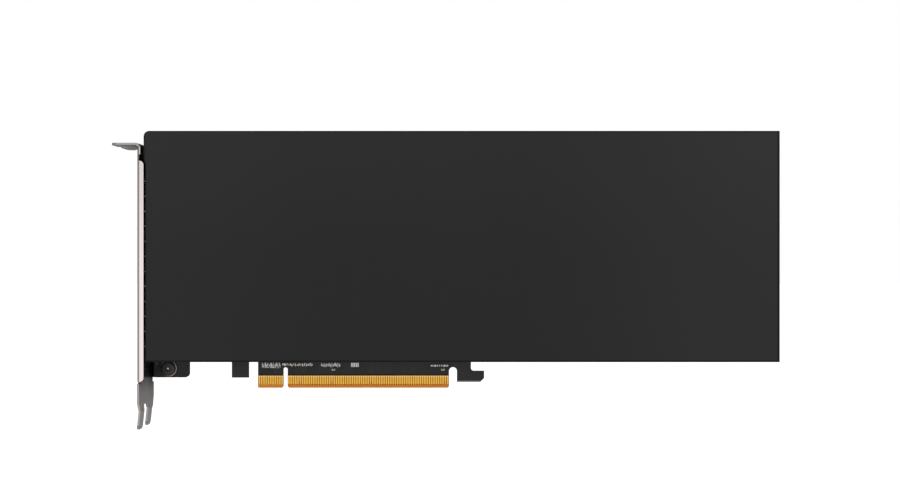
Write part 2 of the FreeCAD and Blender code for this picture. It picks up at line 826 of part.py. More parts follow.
# ---------------------------------------------------------------- cooler
def make_vapour_chamber():
    """Flat copper chamber with a pedestal that reaches the package."""
    z = (cover_inner_bottom + chamber_side_gap, cover_inner_top - chamber_side_gap)
    plate = block((chamber_left, chamber_right), (seat_y, chamber_y), z)
    pedestal = block(around(package_x, pedestal_size), (pedestal_y, seat_y),
                     around(package_z, pedestal_size))
    threads = [stem(m3_shaft + shaft_gap, (x, seat_y, height), (0, -1, 0), retention_grip + shaft_gap)
               for x, height in retention_places]
    return [cut_all(join([plate, pedestal]), threads)]


def make_fin_stack():
    """Folded fins in a row, each a thin web with a foot and a closing flange."""
    fin_top = front_y + cover_wall + fin_cover_gap
    low = cover_inner_bottom + chamber_side_gap + fin_inset
    high = cover_inner_top - chamber_side_gap - fin_inset
    count = int((high - low) / fin_pitch)
    flange = fin_pitch - fin_gap
    fins = []
    for k in range(count):
        z = low + k * fin_pitch
        section = [
            (chamber_y, z, 0), (chamber_y, z + flange, 0),
            (chamber_y - fin_sheet, z + flange, 0), (chamber_y - fin_sheet, z + fin_sheet, 0),
            (fin_top + fin_sheet, z + fin_sheet, 0), (fin_top + fin_sheet, z + flange, 0),
            (fin_top, z + flange, 0), (fin_top, z, 0)]
        fins.append(plate_yz(section, chamber_left + fin_inset, chamber_right - fin_inset))
    return fins


# ---------------------------------------------------------------- package
def make_gpu_substrate():
    """Package substrate soldered to the board."""
    return [block(around(package_x, substrate_size), (component_y, substrate_y),
                  around(package_z, substrate_size))]


def make_stiffener_ring():
    """Metal ring round the package's edge."""
    y = (substrate_y, substrate_y - ring_thickness)
    outer = block(around(package_x, substrate_size), y, around(package_z, substrate_size))
    return [outer.cut(block(around(package_x, ring_opening), y, around(package_z, ring_opening)))]


def make_gpu_die():
    """Processor die in the middle of the package."""
    return [block(around(package_x, die_width), (substrate_y, die_y), around(package_z, die_height))]


def make_memory_stacks():
    """Two memory stacks on each side of the die."""
    stacks = []
    reach = die_width / 2 + stack_gap + stack_width / 2
    for i in (-1, 1):
        for j in (-1, 1):
            stacks.append(block(around(package_x + i * reach, stack_width), (substrate_y, die_y),
                                around(package_z + j * (stack_height + stack_gap) / 2, stack_height)))
    return stacks


def make_die_thermal_pad():
    """Thermal interface between the die, the stacks and the pedestal."""
    width = die_width + 2 * (stack_gap + stack_width)
    return [block(around(package_x, width), (die_y, pedestal_y), around(package_z, die_height))]


# ---------------------------------------------------------------- power stages
def phase_spots():
    """X side and Z of every phase."""
    spots = []
    for column, side in phase_columns:
        for k in range(phase_count):
            spots.append((column, side, package_z - column_height / 2 + k * phase_pitch))
    return spots


def make_inductors():
    """Moulded inductors with chamfered upright edges."""
    parts = []
    for x, side, z in phase_spots():
        body = block(around(x, inductor_size), (component_y, component_y - inductor_height),
                     around(z, inductor_size))
        upright = [edge for edge in body.Edges if edge.BoundBox.YLength > inductor_height - tolerance]
        parts.append(body.makeChamfer(inductor_chamfer, upright))
    return parts


def make_power_stages():
    """Flat switching packages beside the inductors."""
    return [block(around(x + side * stage_offset, stage_width), (component_y, component_y - stage_height),
                  around(z, stage_length)) for x, side, z in phase_spots()]


def make_vrm_thermal_pads():
    """Soft pad between each column of power stages and the frame's rib."""
    y = (component_y - stage_height, component_y - stage_height - pad_thickness)
    return [block(around(column + side * stage_offset, stage_width - pad_margin), y,
                  around(package_z, column_height + stage_length - pad_margin))
            for column, side in phase_columns]


def make_polymer_capacitors():
    """Output and input capacitors, in a column beside each column of power stages."""
    return [block(around(x + side * capacitor_offset, capacitor_width),
                  (component_y, component_y - capacitor_height), around(z, capacitor_length))
            for x, side, z in phase_spots()]


def make_chip(x, z, length, width, height):
    """Flat chip on the component face."""
    return [block(around(x, length), (component_y, component_y - height), around(z, width))]


# ---------------------------------------------------------------- backplate and bolster
def backplate_outline():
    """Backplate's outline, up to the board's upper and tail edges."""
    return rectangle((backplate_left, board_right), (backplate_bottom, board_top), backplate_corner)


def window_outline(growth):
    """Window for the bolster, in the backplate and, a little larger, in the film."""
    size = backplate_window + 2 * growth
    return rectangle(around(package_x, size), around(package_z, size), window_corner)


def rail_screw_spots():
    """X and Z of the screws that hold backplate, board and frame together."""
    return [(x, z) for x in rail_screw_places for z in (lower_rail_z, upper_rail_z)]


def land_rows():
    """Heights of the two lands: from each long edge of the backplate to past its screws."""
    return ((backplate_bottom, lower_rail_z + land_reach), (upper_rail_z - land_reach, board_top))


def make_backplate():
    """Flat plate behind the board, standing on a machined land along each long edge."""
    plate = plate_xz(backplate_outline(), backplate_inner_y, backplate_outer_y)
    rim = [edge for edge in plate.Edges if edge.BoundBox.YMin > backplate_outer_y - tolerance]
    plate = plate.makeChamfer(backplate_chamfer, rim)
    lands = [block((backplate_left + backplate_corner, board_right - backplate_corner),
                   (solder_y, backplate_inner_y), z) for z in land_rows()]
    tools = [plate_xz(window_outline(0), solder_y, backplate_outer_y)]
    for x, z in rail_screw_spots():
        tools.append(stem(m25_shaft + shaft_gap, (x, backplate_outer_y, z), (0, -1, 0),
                          backplate_thickness + standoff_height))
    return [cut_all(join([plate] + lands), tools)]


def make_insulating_film():
    """Thin film stuck to the backplate's inner face."""
    lower, upper = land_rows()
    y = (backplate_inner_y - film_thickness, backplate_inner_y)
    film = block((backplate_left + film_margin, board_right - film_margin), y,
                 (lower[1] + film_gap, upper[0] - film_gap))
    return [film.cut(plate_xz(window_outline(film_gap), *y))]


def make_bolster_plate():
    """Spring plate behind the package, thinned in a cross between its screws."""
    plate = plate_xz(rectangle(around(package_x, bolster_size), around(package_z, bolster_size),
                               bolster_corner), bolster_inner_y, bolster_outer_y)
    holes = [stem(m3_shaft + shaft_gap, (x, bolster_inner_y, z), (0, 1, 0), bolster_thickness)
             for x, z in retention_places]
    arm = bolster_pad_size / 2
    reach = bolster_size / 2 - bolster_edge
    cross = [(arm, -reach), (arm, -arm), (reach, -arm), (reach, arm), (arm, arm), (arm, reach),
             (-arm, reach), (-arm, arm), (-reach, arm), (-reach, -arm), (-arm, -arm), (-arm, -reach)]
    holes.append(plate_xz([(package_x + u, package_z + v, 0) for u, v in cross],
                          bolster_outer_y - bolster_recess, bolster_outer_y))
    return [cut_all(plate, holes)]


def make_bolster_pad():
    """Soft insulating pad between the bolster plate and the board."""
    return [block(around(package_x, bolster_pad_size), (solder_y, bolster_inner_y),
                  around(package_z, bolster_pad_size))]


# ---------------------------------------------------------------- screws
def make_grounding_rings():
    """Copper rings on the board under the board screws."""
    rings = []
    for z in (lower_foot, upper_foot):
        start = (ear_screw_x, component_y, z)
        disc = turned(plate_xy(ring_corners(ring_outer, head_sides), 0, ring_thickness_copper), start,
                      (0, -1, 0))
        rings.append(disc.cut(stem(m3_shaft + board_hole_gap, start, (0, -1, 0), ring_thickness_copper)))
    return rings


def make_board_screws():
    """Black pan head screws through the board into the bracket's feet."""
    seat = component_y - ring_thickness_copper
    return [pan_screw((ear_screw_x, seat, z), (0, 1, 0), board_head_radius, board_head_height,
                      m3_shaft, board_shaft_length, board_head_crown) for z in (lower_foot, upper_foot)]


def make_retention_screws():
    """Screws that pull the vapour chamber onto the package."""
    length = bolster_outer_y - seat_y + retention_grip
    return [pan_screw((x, bolster_outer_y, z), (0, -1, 0), retention_head_radius, retention_head_height,
                      m3_shaft, length) for x, z in retention_places]


def make_backplate_screws():
    """Low-headed screws through backplate and board into the frame's rails."""
    return [pan_screw((x, backplate_outer_y, z), (0, -1, 0), plate_head_radius, plate_head_height,
                      m25_shaft, rail_screw_length) for x, z in rail_screw_spots()]


def make_shroud_screws():
    """Countersunk screws through the cover's walls into the frame's rails."""
    return [flat_screw(place, direction, m25_shaft, cover_screw_length)
            for place, direction in cover_screw_spots()]


def make_bracket_screws():
    """Countersunk screws through the bracket into the frame's arms."""
    return [flat_screw((bracket_outer, rail_y, z), (1, 0, 0), m25_shaft, bracket_screw_length)
            for z in (lower_arm, upper_arm)]


# ---------------------------------------------------------------- power inlet
def inlet_spots():
    """Y and Z of each cavity's centre."""
    first_y = component_y - inlet_wall - inlet_cavity / 2
    first_z = inlet_z - (inlet_columns - 1) * inlet_pitch / 2
    return [(first_y - row * inlet_pitch, first_z + column * inlet_pitch)
            for row in range(inlet_rows) for column in range(inlet_columns)]


def make_power_inlet():
    """Moulded eight-way inlet that opens at the tail, with a latch ramp on top."""
    height = (inlet_rows - 1) * inlet_pitch + inlet_cavity + 2 * inlet_wall
    width = (inlet_columns - 1) * inlet_pitch + inlet_cavity + 2 * inlet_wall
    housing = block((inlet_face - inlet_length, inlet_face), (component_y, component_y - height),
                    around(inlet_z, width))
    top = component_y - height
    ramp = plate_xy([(inlet_face - latch_length, top, 0), (inlet_face - latch_inset, top, 0),
                     (inlet_face - latch_inset, top - latch_lead_in, 0),
                     (inlet_face - latch_length, top - latch_height, 0)],
                    *around(inlet_z, latch_width))
    cavities = []
    for index, (y, z) in enumerate(inlet_spots()):
        keyed = inlet_cavity_chamfer if index % 2 else 0
        half = inlet_cavity / 2
        corners = [(y - half + keyed, z - half, 0), (y + half, z - half, 0), (y + half, z + half, 0),
                   (y - half + keyed, z + half, 0)]
        if keyed:
            corners += [(y - half, z + half - keyed, 0), (y - half, z - half + keyed, 0)]
        cavities.append(plate_yz(corners, inlet_face - inlet_cavity_depth, inlet_face))
    return [cut_all(join([housing, ramp]), cavities)]


def make_power_inlet_pins():
    """Square pins standing in the cavities."""
    floor = inlet_face - inlet_cavity_depth
    return [block((floor, floor + pin_reach), around(y, pin_size), around(z, pin_size))
            for y, z in inlet_spots()]


# ---------------------------------------------------------------- all nodes
nodes = {
    "circuit_board": make_circuit_board(),
    "edge_contacts_front": make_edge_contacts(component_y, -1, sensing_front),
    "edge_contacts_back": make_edge_contacts(solder_y, 1, sensing_back),
    "coupling_capacitors": make_coupling_capacitors(),
    "small_passives": make_small_passives(),
    "io_bracket": make_io_bracket(),
    "shroud": make_shroud(),
    "base_frame": make_base_frame(),
    "vapour_chamber": make_vapour_chamber(),
    "fin_stack": make_fin_stack(),
    "gpu_substrate": make_gpu_substrate(),
    "stiffener_ring": make_stiffener_ring(),
    "gpu_die": make_gpu_die(),
    "memory_stacks": make_memory_stacks(),
    "die_thermal_pad": make_die_thermal_pad(),
    "inductors": make_inductors(),
    "power_stages": make_power_stages(),
    "vrm_thermal_pads": make_vrm_thermal_pads(),
    "polymer_capacitors": make_polymer_capacitors(),
    "management_chip": make_chip(chip_x, chip_z, chip_size, chip_size, chip_height),
    "flash_chip": make_chip(flash_x, flash_z, flash_length, flash_width, flash_height),
    "clock_oscillator": make_chip(crystal_x, crystal_z, crystal_length, crystal_width, crystal_height),
    "backplate": make_backplate(),
    "insulating_film": make_insulating_film(),
    "bolster_plate": make_bolster_plate(),
    "bolster_pad": make_bolster_pad(),
    "grounding_rings": make_grounding_rings(),
    "board_screws": make_board_screws(),
    "retention_screws": make_retention_screws(),
    "backplate_screws": make_backplate_screws(),
    "shroud_screws": make_shroud_screws(),
    "bracket_screws": make_bracket_screws(),
    "power_inlet": make_power_inlet(),
    "power_inlet_pins": make_power_inlet_pins(),
}

os.makedirs("parts", exist_ok=True)
for name, solids in nodes.items():
    shape = solids[0] if len(solids) == 1 else Part.makeCompound(solids)
    shape.exportStep(f"parts/{name}.step")
    box = shape.BoundBox
    print(f"{name:22s} solids {len(shape.Solids):3d}  valid {shape.isValid()}  "
          f"X {box.XMin:.2f} {box.XMax:.2f}  Y {box.YMin:.2f} {box.YMax:.2f}  "
          f"Z {box.ZMin:.2f} {box.ZMax:.2f}")
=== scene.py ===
"""Looks of the passive accelerator card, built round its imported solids.

Metres, in the card's own frame: X along the card from the bracket, Y through its thickness with
the component side at low Y, Z up. The origin is the middle of the connector's key notch.
"""

import math

import bmesh
import bpy
import numpy as np
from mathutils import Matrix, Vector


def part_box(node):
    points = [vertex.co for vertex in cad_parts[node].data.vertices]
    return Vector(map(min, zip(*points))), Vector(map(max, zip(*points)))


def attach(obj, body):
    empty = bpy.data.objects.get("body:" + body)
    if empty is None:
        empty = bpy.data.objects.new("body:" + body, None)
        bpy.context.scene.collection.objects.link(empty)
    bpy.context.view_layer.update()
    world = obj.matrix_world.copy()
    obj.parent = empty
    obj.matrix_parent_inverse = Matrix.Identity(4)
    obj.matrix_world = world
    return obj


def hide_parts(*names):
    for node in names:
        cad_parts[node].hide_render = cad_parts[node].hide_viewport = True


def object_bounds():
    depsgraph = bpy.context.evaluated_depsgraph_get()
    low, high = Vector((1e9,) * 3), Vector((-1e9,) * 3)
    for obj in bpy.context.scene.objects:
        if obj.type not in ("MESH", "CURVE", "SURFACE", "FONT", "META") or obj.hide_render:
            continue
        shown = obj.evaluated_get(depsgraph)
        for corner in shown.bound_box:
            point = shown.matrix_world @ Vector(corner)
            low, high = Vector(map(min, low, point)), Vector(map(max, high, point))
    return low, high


bl_info = {
    "name": "Passive accelerator card",
    "version": (1, 0, 0),
    "blender": (4, 5, 0),
    "location": "3D View > Sidebar > Card",
    "description": "Finishes, printed marks, fasteners and studio of a passive accelerator card",
    "category": "Object",
}

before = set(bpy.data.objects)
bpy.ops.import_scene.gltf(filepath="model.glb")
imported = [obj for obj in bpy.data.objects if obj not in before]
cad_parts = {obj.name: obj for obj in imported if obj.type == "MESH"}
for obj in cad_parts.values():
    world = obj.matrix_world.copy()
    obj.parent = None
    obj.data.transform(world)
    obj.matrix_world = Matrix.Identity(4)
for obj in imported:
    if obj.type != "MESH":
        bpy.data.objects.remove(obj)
CAD_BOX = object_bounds()
MM = 0.001
FRONT_FACE, BACK_FACE = (corner[1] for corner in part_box("circuit_board"))
BEVEL_HEIGHT = 1.6 * MM        # lead-in along the connector's lower edge
BEVEL_DEPTH = 0.42 * MM


# ---------------------------------------------------------------- settings
class StageSettings(bpy.types.PropertyGroup):
    """Floor, lights and camera."""

    camera_distance: bpy.props.FloatProperty(
        name="Camera distance", description="From the lens to the board's component face",
        default=0.8, unit="LENGTH")
    camera_x: bpy.props.FloatProperty(
        name="Camera X", description="Lens axis along the card", default=0.07255, unit="LENGTH")
    camera_z: bpy.props.FloatProperty(
        name="Camera height", description="Lens axis above the contacts' lower edge",
        default=0.0608, unit="LENGTH")
    lens: bpy.props.FloatProperty(
        name="Lens", description="Focal length on a 36 mm wide frame", default=72.54)
    floor_drop: bpy.props.FloatProperty(
        name="Floor drop", description="Floor below the card's lowest point", default=0.16,
        unit="LENGTH")
    floor_colour: bpy.props.FloatVectorProperty(
        name="Floor colour", description="Plain pale floor", default=(0.9, 0.9, 0.9),
        subtype="COLOR")
    floor_glow: bpy.props.FloatProperty(
        name="Floor glow", description="Brightness that lifts the floor to the backdrop's white",
        default=0.85)
    front_light: bpy.props.FloatProperty(
        name="Front light", description="Brightness of the surroundings in front", default=1.1)
    back_light: bpy.props.FloatProperty(
        name="Back light", description="Brightness of the surroundings behind", default=0.27)


class BoardSettings(bpy.types.PropertyGroup):
    """Circuit board and what is printed and soldered on it."""

    mask_colour: bpy.props.FloatVectorProperty(
        name="Mask colour", description="Black solder mask", default=(0.0136, 0.0134, 0.0128),
        subtype="COLOR")
    laminate_colour: bpy.props.FloatVectorProperty(
        name="Laminate colour", description="Bare laminate on the connector's bevel",
        default=(0.95, 0.31, 0.026), subtype="COLOR")
    gap_colour: bpy.props.FloatVectorProperty(
        name="Gap colour", description="Bare laminate between the contacts",
        default=(0.24, 0.105, 0.016), subtype="COLOR")
    gold_colour: bpy.props.FloatVectorProperty(
        name="Gold colour", description="Plated contacts", default=(0.80, 0.43, 0.062),
        subtype="COLOR")
    ink_height: bpy.props.FloatProperty(
        name="Ink height", description="Thickness of the printed marks", default=0.00002,
        unit="LENGTH")
    cap_share: bpy.props.FloatProperty(
        name="Terminal share", description="Part of a chip part's length under each terminal",
        default=0.24, min=0.05, max=0.45)
    via_radius: bpy.props.FloatProperty(
        name="Via radius", description="Outer radius of a plated via's ring", default=0.0003,
        unit="LENGTH")


class SheetSettings(bpy.types.PropertyGroup):
    """Cover, bracket and backplate."""

    cover_colour: bpy.props.FloatVectorProperty(
        name="Cover colour", description="Satin black paint of the cover",
        default=(0.0098, 0.0098, 0.0103), subtype="COLOR")
    steel_colour: bpy.props.FloatVectorProperty(
        name="Bracket colour", description="Plated steel of the bracket",
        default=(0.65, 0.60, 0.585), subtype="COLOR")
    edge_radius: bpy.props.FloatProperty(
        name="Edge radius", description="Softening of sheared edges in the finish",
        default=0.00012, unit="LENGTH")


# ---------------------------------------------------------------- shader helpers
def feed(tree, node, items):
    """Gives inputs what they take: a link from another node's output, or a value of their own."""
    for key, item in items.items():
        socket = node.inputs[key]
        if isinstance(item, bpy.types.NodeSocket):
            tree.links.new(item, socket)
        else:
            socket.default_value = (*item, 1.0) if socket.type == "RGBA" else item


def shader_node(tree, kind, place=(0, 0), inputs=None, **settings):
    """New node of a kind, with its settings and then what its inputs take."""
    node = tree.nodes.new(kind)
    node.location = place
    for key, value in settings.items():
        setattr(node, key, value)
    feed(tree, node, inputs or {})
    return node


def split_vector(tree, kind, output):
    """X, Y and Z of an output of a new node of a kind."""
    source = shader_node(tree, kind)
    return shader_node(tree, "ShaderNodeSeparateXYZ", inputs={0: source.outputs[output]}).outputs


def card_spot(tree):
    """X, Y and Z of a place on the card, in metres."""
    return split_vector(tree, "ShaderNodeTexCoord", "Object")


def card_facing(tree):
    """X, Y and Z of the way that a surface faces."""
    return split_vector(tree, "ShaderNodeNewGeometry", "True Normal")


def value_math(tree, operation, *items, clamp=False):
    """Math node on values or outputs; returns its output."""
    node = shader_node(tree, "ShaderNodeMath", operation=operation, use_clamp=clamp,
                       inputs=dict(enumerate(items)))
    return node.outputs[0]


def product(tree, first, *others):
    """Product of values or outputs; returns its output."""
    for other in others:
        first = value_math(tree, "MULTIPLY", first, other)
    return first


def between(tree, value, low, high):
    """1 where an output lies between two values, and 0 elsewhere; returns its output."""
    return product(tree, value_math(tree, "GREATER_THAN", value, low),
                   value_math(tree, "LESS_THAN", value, high))


def map_range(tree, value, start, end, low=0.0, high=1.0, way="LINEAR"):
    """Output carried from one range to another and held at its ends; returns its output."""
    node = shader_node(tree, "ShaderNodeMapRange", interpolation_type=way, inputs={
        "Value": value, "From Min": start, "From Max": end, "To Min": low, "To Max": high})
    return node.outputs["Result"]


def ramp(tree, value, start, end):
    """Smooth rise from 0 to 1 between two values of an output; returns its output."""
    return map_range(tree, value, start, end, way="SMOOTHSTEP")


def colour_mix(tree, factor, first, second):
    """Mix of two colours or outputs by a factor; returns its output."""
    node = shader_node(tree, "ShaderNodeMix", data_type="RGBA",
                       inputs={0: factor, 6: first, 7: second})
    return node.outputs[2]


def scaled(colour, share):
    """Colour times one share, or times a share for each channel."""
    return tuple(np.multiply(colour, share).tolist())


def finish_group(name, inputs, outputs):
    """Empty shader node group with named sockets; returns the tree and its two end nodes."""
    tree = bpy.data.node_groups.new(name, "ShaderNodeTree")
    for label, kind, default in inputs:
        socket = tree.interface.new_socket(name=label, in_out="INPUT", socket_type=kind)
        socket.default_value = default
    for label, kind in outputs:
        tree.interface.new_socket(name=label, in_out="OUTPUT", socket_type=kind)
    return tree, tree.nodes.new("NodeGroupInput"), tree.nodes.new("NodeGroupOutput")


def build_surface_grain():
    """Fine grain over slow cloudiness: height and roughness values, and a slow mask."""
    tree, source, sink = finish_group(
        "surface_grain",
        [("Grain Scale", "NodeSocketFloat", 2500.0), ("Cloud Scale", "NodeSocketFloat", 30.0),
         ("Stretch", "NodeSocketVector", (1.0, 1.0, 1.0)),
         ("Roughness Low", "NodeSocketFloat", 0.4), ("Roughness High", "NodeSocketFloat", 0.5)],
        [("Height", "NodeSocketFloat"), ("Cloud", "NodeSocketFloat"),
         ("Roughness", "NodeSocketFloat")])
    given = source.outputs
    place = shader_node(tree, "ShaderNodeTexCoord", (-900, 0)).outputs["Object"]
    stretched = shader_node(tree, "ShaderNodeVectorMath", (-700, 100), operation="MULTIPLY",
                            inputs={0: place, 1: given["Stretch"]})
    grain = shader_node(tree, "ShaderNodeTexNoise", (-500, 150), inputs={
        "Vector": stretched.outputs[0], "Scale": given["Grain Scale"], "Detail": 3.0,
        "Roughness": 0.6}).outputs["Fac"]
    cloud = shader_node(tree, "ShaderNodeTexNoise", (-500, -150), inputs={
        "Vector": place, "Scale": given["Cloud Scale"], "Detail": 2.0,
        "Roughness": 0.5}).outputs["Fac"]
    blend = value_math(tree, "MULTIPLY_ADD", grain, 0.35, cloud)
    spread = map_range(tree, blend, 0.35, 1.0, given["Roughness Low"], given["Roughness High"])
    feed(tree, sink, {"Height": grain, "Cloud": cloud, "Roughness": spread})
    return tree


def build_soft_edges():
    """Rounded normal along sharp edges, and a mask of how far it turns there."""
    tree, source, sink = finish_group(
        "soft_edges", [("Radius", "NodeSocketFloat", 0.0001)],
        [("Normal", "NodeSocketVector"), ("Edge", "NodeSocketFloat")])
    bevel = shader_node(tree, "ShaderNodeBevel", (-500, 0), samples=4,
                        inputs={"Radius": source.outputs["Radius"]}).outputs["Normal"]
    flat = shader_node(tree, "ShaderNodeNewGeometry", (-500, -200)).outputs["Normal"]
    along = shader_node(tree, "ShaderNodeVectorMath", (-300, -100), operation="DOT_PRODUCT",
                        inputs={0: bevel, 1: flat})
    turned = map_range(tree, along.outputs["Value"], 0.995, 0.80)
    feed(tree, sink, {"Normal": bevel, "Edge": turned})
    return tree


def new_finish(name, metallic, specular=0.5):
    """Empty material with a Principled shader whose plain values are set on its own sockets."""
    material = bpy.data.materials.new(name)
    material.use_nodes = True
    tree = material.node_tree
    shader = tree.nodes["Principled BSDF"]
    feed(tree, shader, {"Metallic": metallic, "Specular IOR Level": specular})
    return material, tree, shader


def grained_finish(name, colour, second, metallic, roughness, grain=2500.0, bump=0.00001,
                   cloud=30.0, stretch=(1.0, 1.0, 1.0), specular=0.5, edge=None, edge_share=1.0,
                   shade=None):
    """Material of two close colours in soft clouds, with fine grain, rounded edges and a given
    edge colour painted along them: a painted highlight where it is paler, painted shade where it
    is darker.
    """
    material, tree, shader = new_finish(name, metallic, specular)
    surface = shader_node(
        tree, "ShaderNodeGroup", (-700, 0), node_tree=GROUPS["surface_grain"],
        inputs={"Grain Scale": grain, "Cloud Scale": cloud, "Stretch": stretch,
                "Roughness Low": roughness[0], "Roughness High": roughness[1]}).outputs
    paint = colour_mix(tree, surface["Cloud"], colour, second)
    relief = {"Strength": 1.0, "Distance": bump, "Height": surface["Height"]}
    if edge is not None:
        radius = bpy.context.scene.card_sheet.edge_radius * edge_share
        rounding = shader_node(tree, "ShaderNodeGroup", (-700, -350), inputs={"Radius": radius},
                               node_tree=GROUPS["soft_edges"])
        relief["Normal"] = rounding.outputs["Normal"]
        # Painted light along the edges: an edge colour paler than the paint is a painted
        # highlight, a darker one painted shade.
        paint = colour_mix(tree, rounding.outputs["Edge"], paint, edge)
    if shade is not None:
        paint = shade(tree, paint, shader)
    bumps = shader_node(tree, "ShaderNodeBump", (-300, -250), inputs=relief)
    feed(tree, shader, {"Base Color": paint, "Roughness": surface["Roughness"],
                        "Normal": bumps.outputs["Normal"]})
    return material


# ---------------------------------------------------------------- finishes
# Axis, start, end and share of each rise of the painted light on the cover.
COVER_PAINTED_LIGHT = (("X", 0.10, 0.212, 0.55), ("X", 0.03, -0.057, 0.22), ("Z", 0.05, 0.111, 0.25))
TAIL_SHADE_RIM = (1.4 * MM, 1.0 * MM)  # where the painted shade along the cover's rim starts and is full
SIDE_SHADE_RIM = (0.9 * MM, 0.5 * MM)
TAB_EDGE = 104.9 * MM            # beyond it and the flange's end lie shear cuts, darkened partly as painted shade
FLANGE_END = 4.4 * MM
FLANGE_PAINTED_LIGHT = (105.0 * MM, 45.0 * MM)  # painted light on the flange, from dull to bright, downwards
UPPER_OPENING = (97.0 * MM, 104.0 * MM)  # towards these ends the bracket is less closed in and the painted shade fades
LOWER_OPENING = (5.0 * MM, -3.0 * MM)
OCCLUSION_SHADE_REACH = 16.0 * MM         # how far a near surface casts painted shade on the bracket
VENT_Y = (-33.0 * MM, -1.0 * MM)  # the field of air holes, whose walls get painted shade
VENT_Z = (8.0 * MM, 99.0 * MM)
CONTACT_HIGHLIGHT = (1.0 * MM, 0.6 * MM)  # painted highlight under the contacts' upper ends
MASK_EDGE_SHADOW = 0.25 * MM             # painted shadow of the solder mask's edge over them
RECESS_DEPTH = 0.05 * MM
TRACE_PITCH = 0.5 * MM           # copper lines under the mask
PLY_PITCH = 0.26 * MM            # glass layers on a cut edge
TONGUE_MARGINS = (0.4 * MM, 0.3 * MM)  # mask past the first and the last contact
DARK_BAND = 0.6 * MM             # dark mask over the contacts
GAP_BAND = 0.05 * MM             # laminate between them ends here
BEVEL_SHADOW_HEIGHT = 1.15 * MM          # painted shadow on the upper part of the lead-in, on the long tongue
TONGUE_TOP = 2.0 * MM            # all of a lead-in lies under it


def shade_cover(tree, colour, shader):
    """Cover paint with painted light towards the tail, the bracket and the top, and painted shade
    along its rim.
    """
    spot = card_spot(tree)
    low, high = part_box("shroud")
    painted_light = 0.0
    for axis, start, end, most in COVER_PAINTED_LIGHT:
        rise = product(tree, ramp(tree, spot[axis], start, end), most)
        painted_light = value_math(tree, "ADD", painted_light, rise, clamp=True)
    # Painted light: the cover's colour rises towards the tail, the bracket and the top.
    colour = colour_mix(tree, painted_light, colour, (0.0225, 0.0225, 0.024))
    # Painted shade: the rim and the front of the cover's bends are darkened.
    rim = ramp(tree, spot["X"], *(high[0] - inset for inset in TAIL_SHADE_RIM))
    front = ramp(tree, card_facing(tree)["Y"], -0.1, -0.4)
    for axis, border, inwards in (("X", low[0], 1), ("Z", low[2], 1), ("Z", high[2], -1)):
        side = ramp(tree, spot[axis], *(border + inwards * inset for inset in SIDE_SHADE_RIM))
        rim = value_math(tree, "MAXIMUM", rim, product(tree, side, front))
    return colour_mix(tree, rim, colour, (0.005, 0.005, 0.005))


def shade_bracket(tree, colour, shader):
    """Bracket steel: painted light on the flange, brighter lower down; shear cuts dulled partly as
    their own grey and partly as painted shade; painted shade where closed in.

    Over the flange and under it, a face that looks along the card's thickness is a cut.
    """
    spot = card_spot(tree)
    facing = card_facing(tree)
    # Painted light: the flange's colour brightens lower down.
    bright = product(tree, ramp(tree, spot["Z"], *FLANGE_PAINTED_LIGHT),
                     value_math(tree, "LESS_THAN", facing["Y"], -0.5))
    colour = colour_mix(tree, bright, colour, (0.77, 0.69, 0.67))
    # Shear cuts: a dull grey, partly the cut steel's own and partly painted shade.
    beyond = value_math(tree, "ADD", value_math(tree, "GREATER_THAN", spot["Z"], TAB_EDGE),
                        value_math(tree, "LESS_THAN", spot["Z"], FLANGE_END))
    sideways = value_math(tree, "ABSOLUTE", facing["Y"])
    cut = product(tree, beyond, value_math(tree, "GREATER_THAN", sideways, 0.9))
    colour = colour_mix(tree, cut, colour, (0.34, 0.325, 0.315))
    # Painted shade: the steel darkens where near surfaces close it in and on the air holes' walls;
    # its reflections darken through the specular tint.
    occlusion_shade = shader_node(tree, "ShaderNodeAmbientOcclusion", samples=6,
                            inputs={"Distance": OCCLUSION_SHADE_REACH})
    open_ends = value_math(tree, "ADD", ramp(tree, spot["Z"], *UPPER_OPENING),
                           ramp(tree, spot["Z"], *LOWER_OPENING))
    depth = value_math(tree, "SUBTRACT", 3.0, product(tree, open_ends, 1.7))
    share = value_math(tree, "POWER", occlusion_shade.outputs["AO"], depth)
    wall = value_math(tree, "LESS_THAN", value_math(tree, "ABSOLUTE", facing["X"]), 0.5)
    vent_wall_shade = product(tree, wall, between(tree, spot["Y"], *VENT_Y),
                   between(tree, spot["Z"], *VENT_Z))
    share = product(tree, share, value_math(tree, "SUBTRACT", 1.0, vent_wall_shade))
    dark = (0.012, 0.012, 0.012)
    feed(tree, shader, {"Specular Tint": colour_mix(tree, share, dark, (1.0, 1.0, 1.0))})
    return colour_mix(tree, share, dark, colour)


def shade_contacts(tree, colour, shader):
    """Gold contacts: a painted highlight near their upper ends, and a painted shadow of the solder
    mask's edge along their very top.
    """
    height = card_spot(tree)["Z"]
    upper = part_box("edge_contacts_front")[1][2]
    ends = ramp(tree, height, *(upper - depth for depth in CONTACT_HIGHLIGHT))
    mask_shadow = value_math(tree, "GREATER_THAN", height, upper - MASK_EDGE_SHADOW)
    # Painted highlight near the upper ends, then the painted shadow of the mask's edge.
    colour = colour_mix(tree, ends, colour, (0.90, 0.56, 0.20))
    return colour_mix(tree, mask_shadow, colour, (0.02, 0.01, 0.002))


def shade_recess(tree, colour, shader):
    """Bolster plate: blackened in its shallow cross, which lies under the outer face."""
    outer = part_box("bolster_plate")[1][1]
    sunk = value_math(tree, "LESS_THAN", card_spot(tree)["Y"], outer - RECESS_DEPTH)
    return colour_mix(tree, sunk, colour, (0.05, 0.05, 0.052))


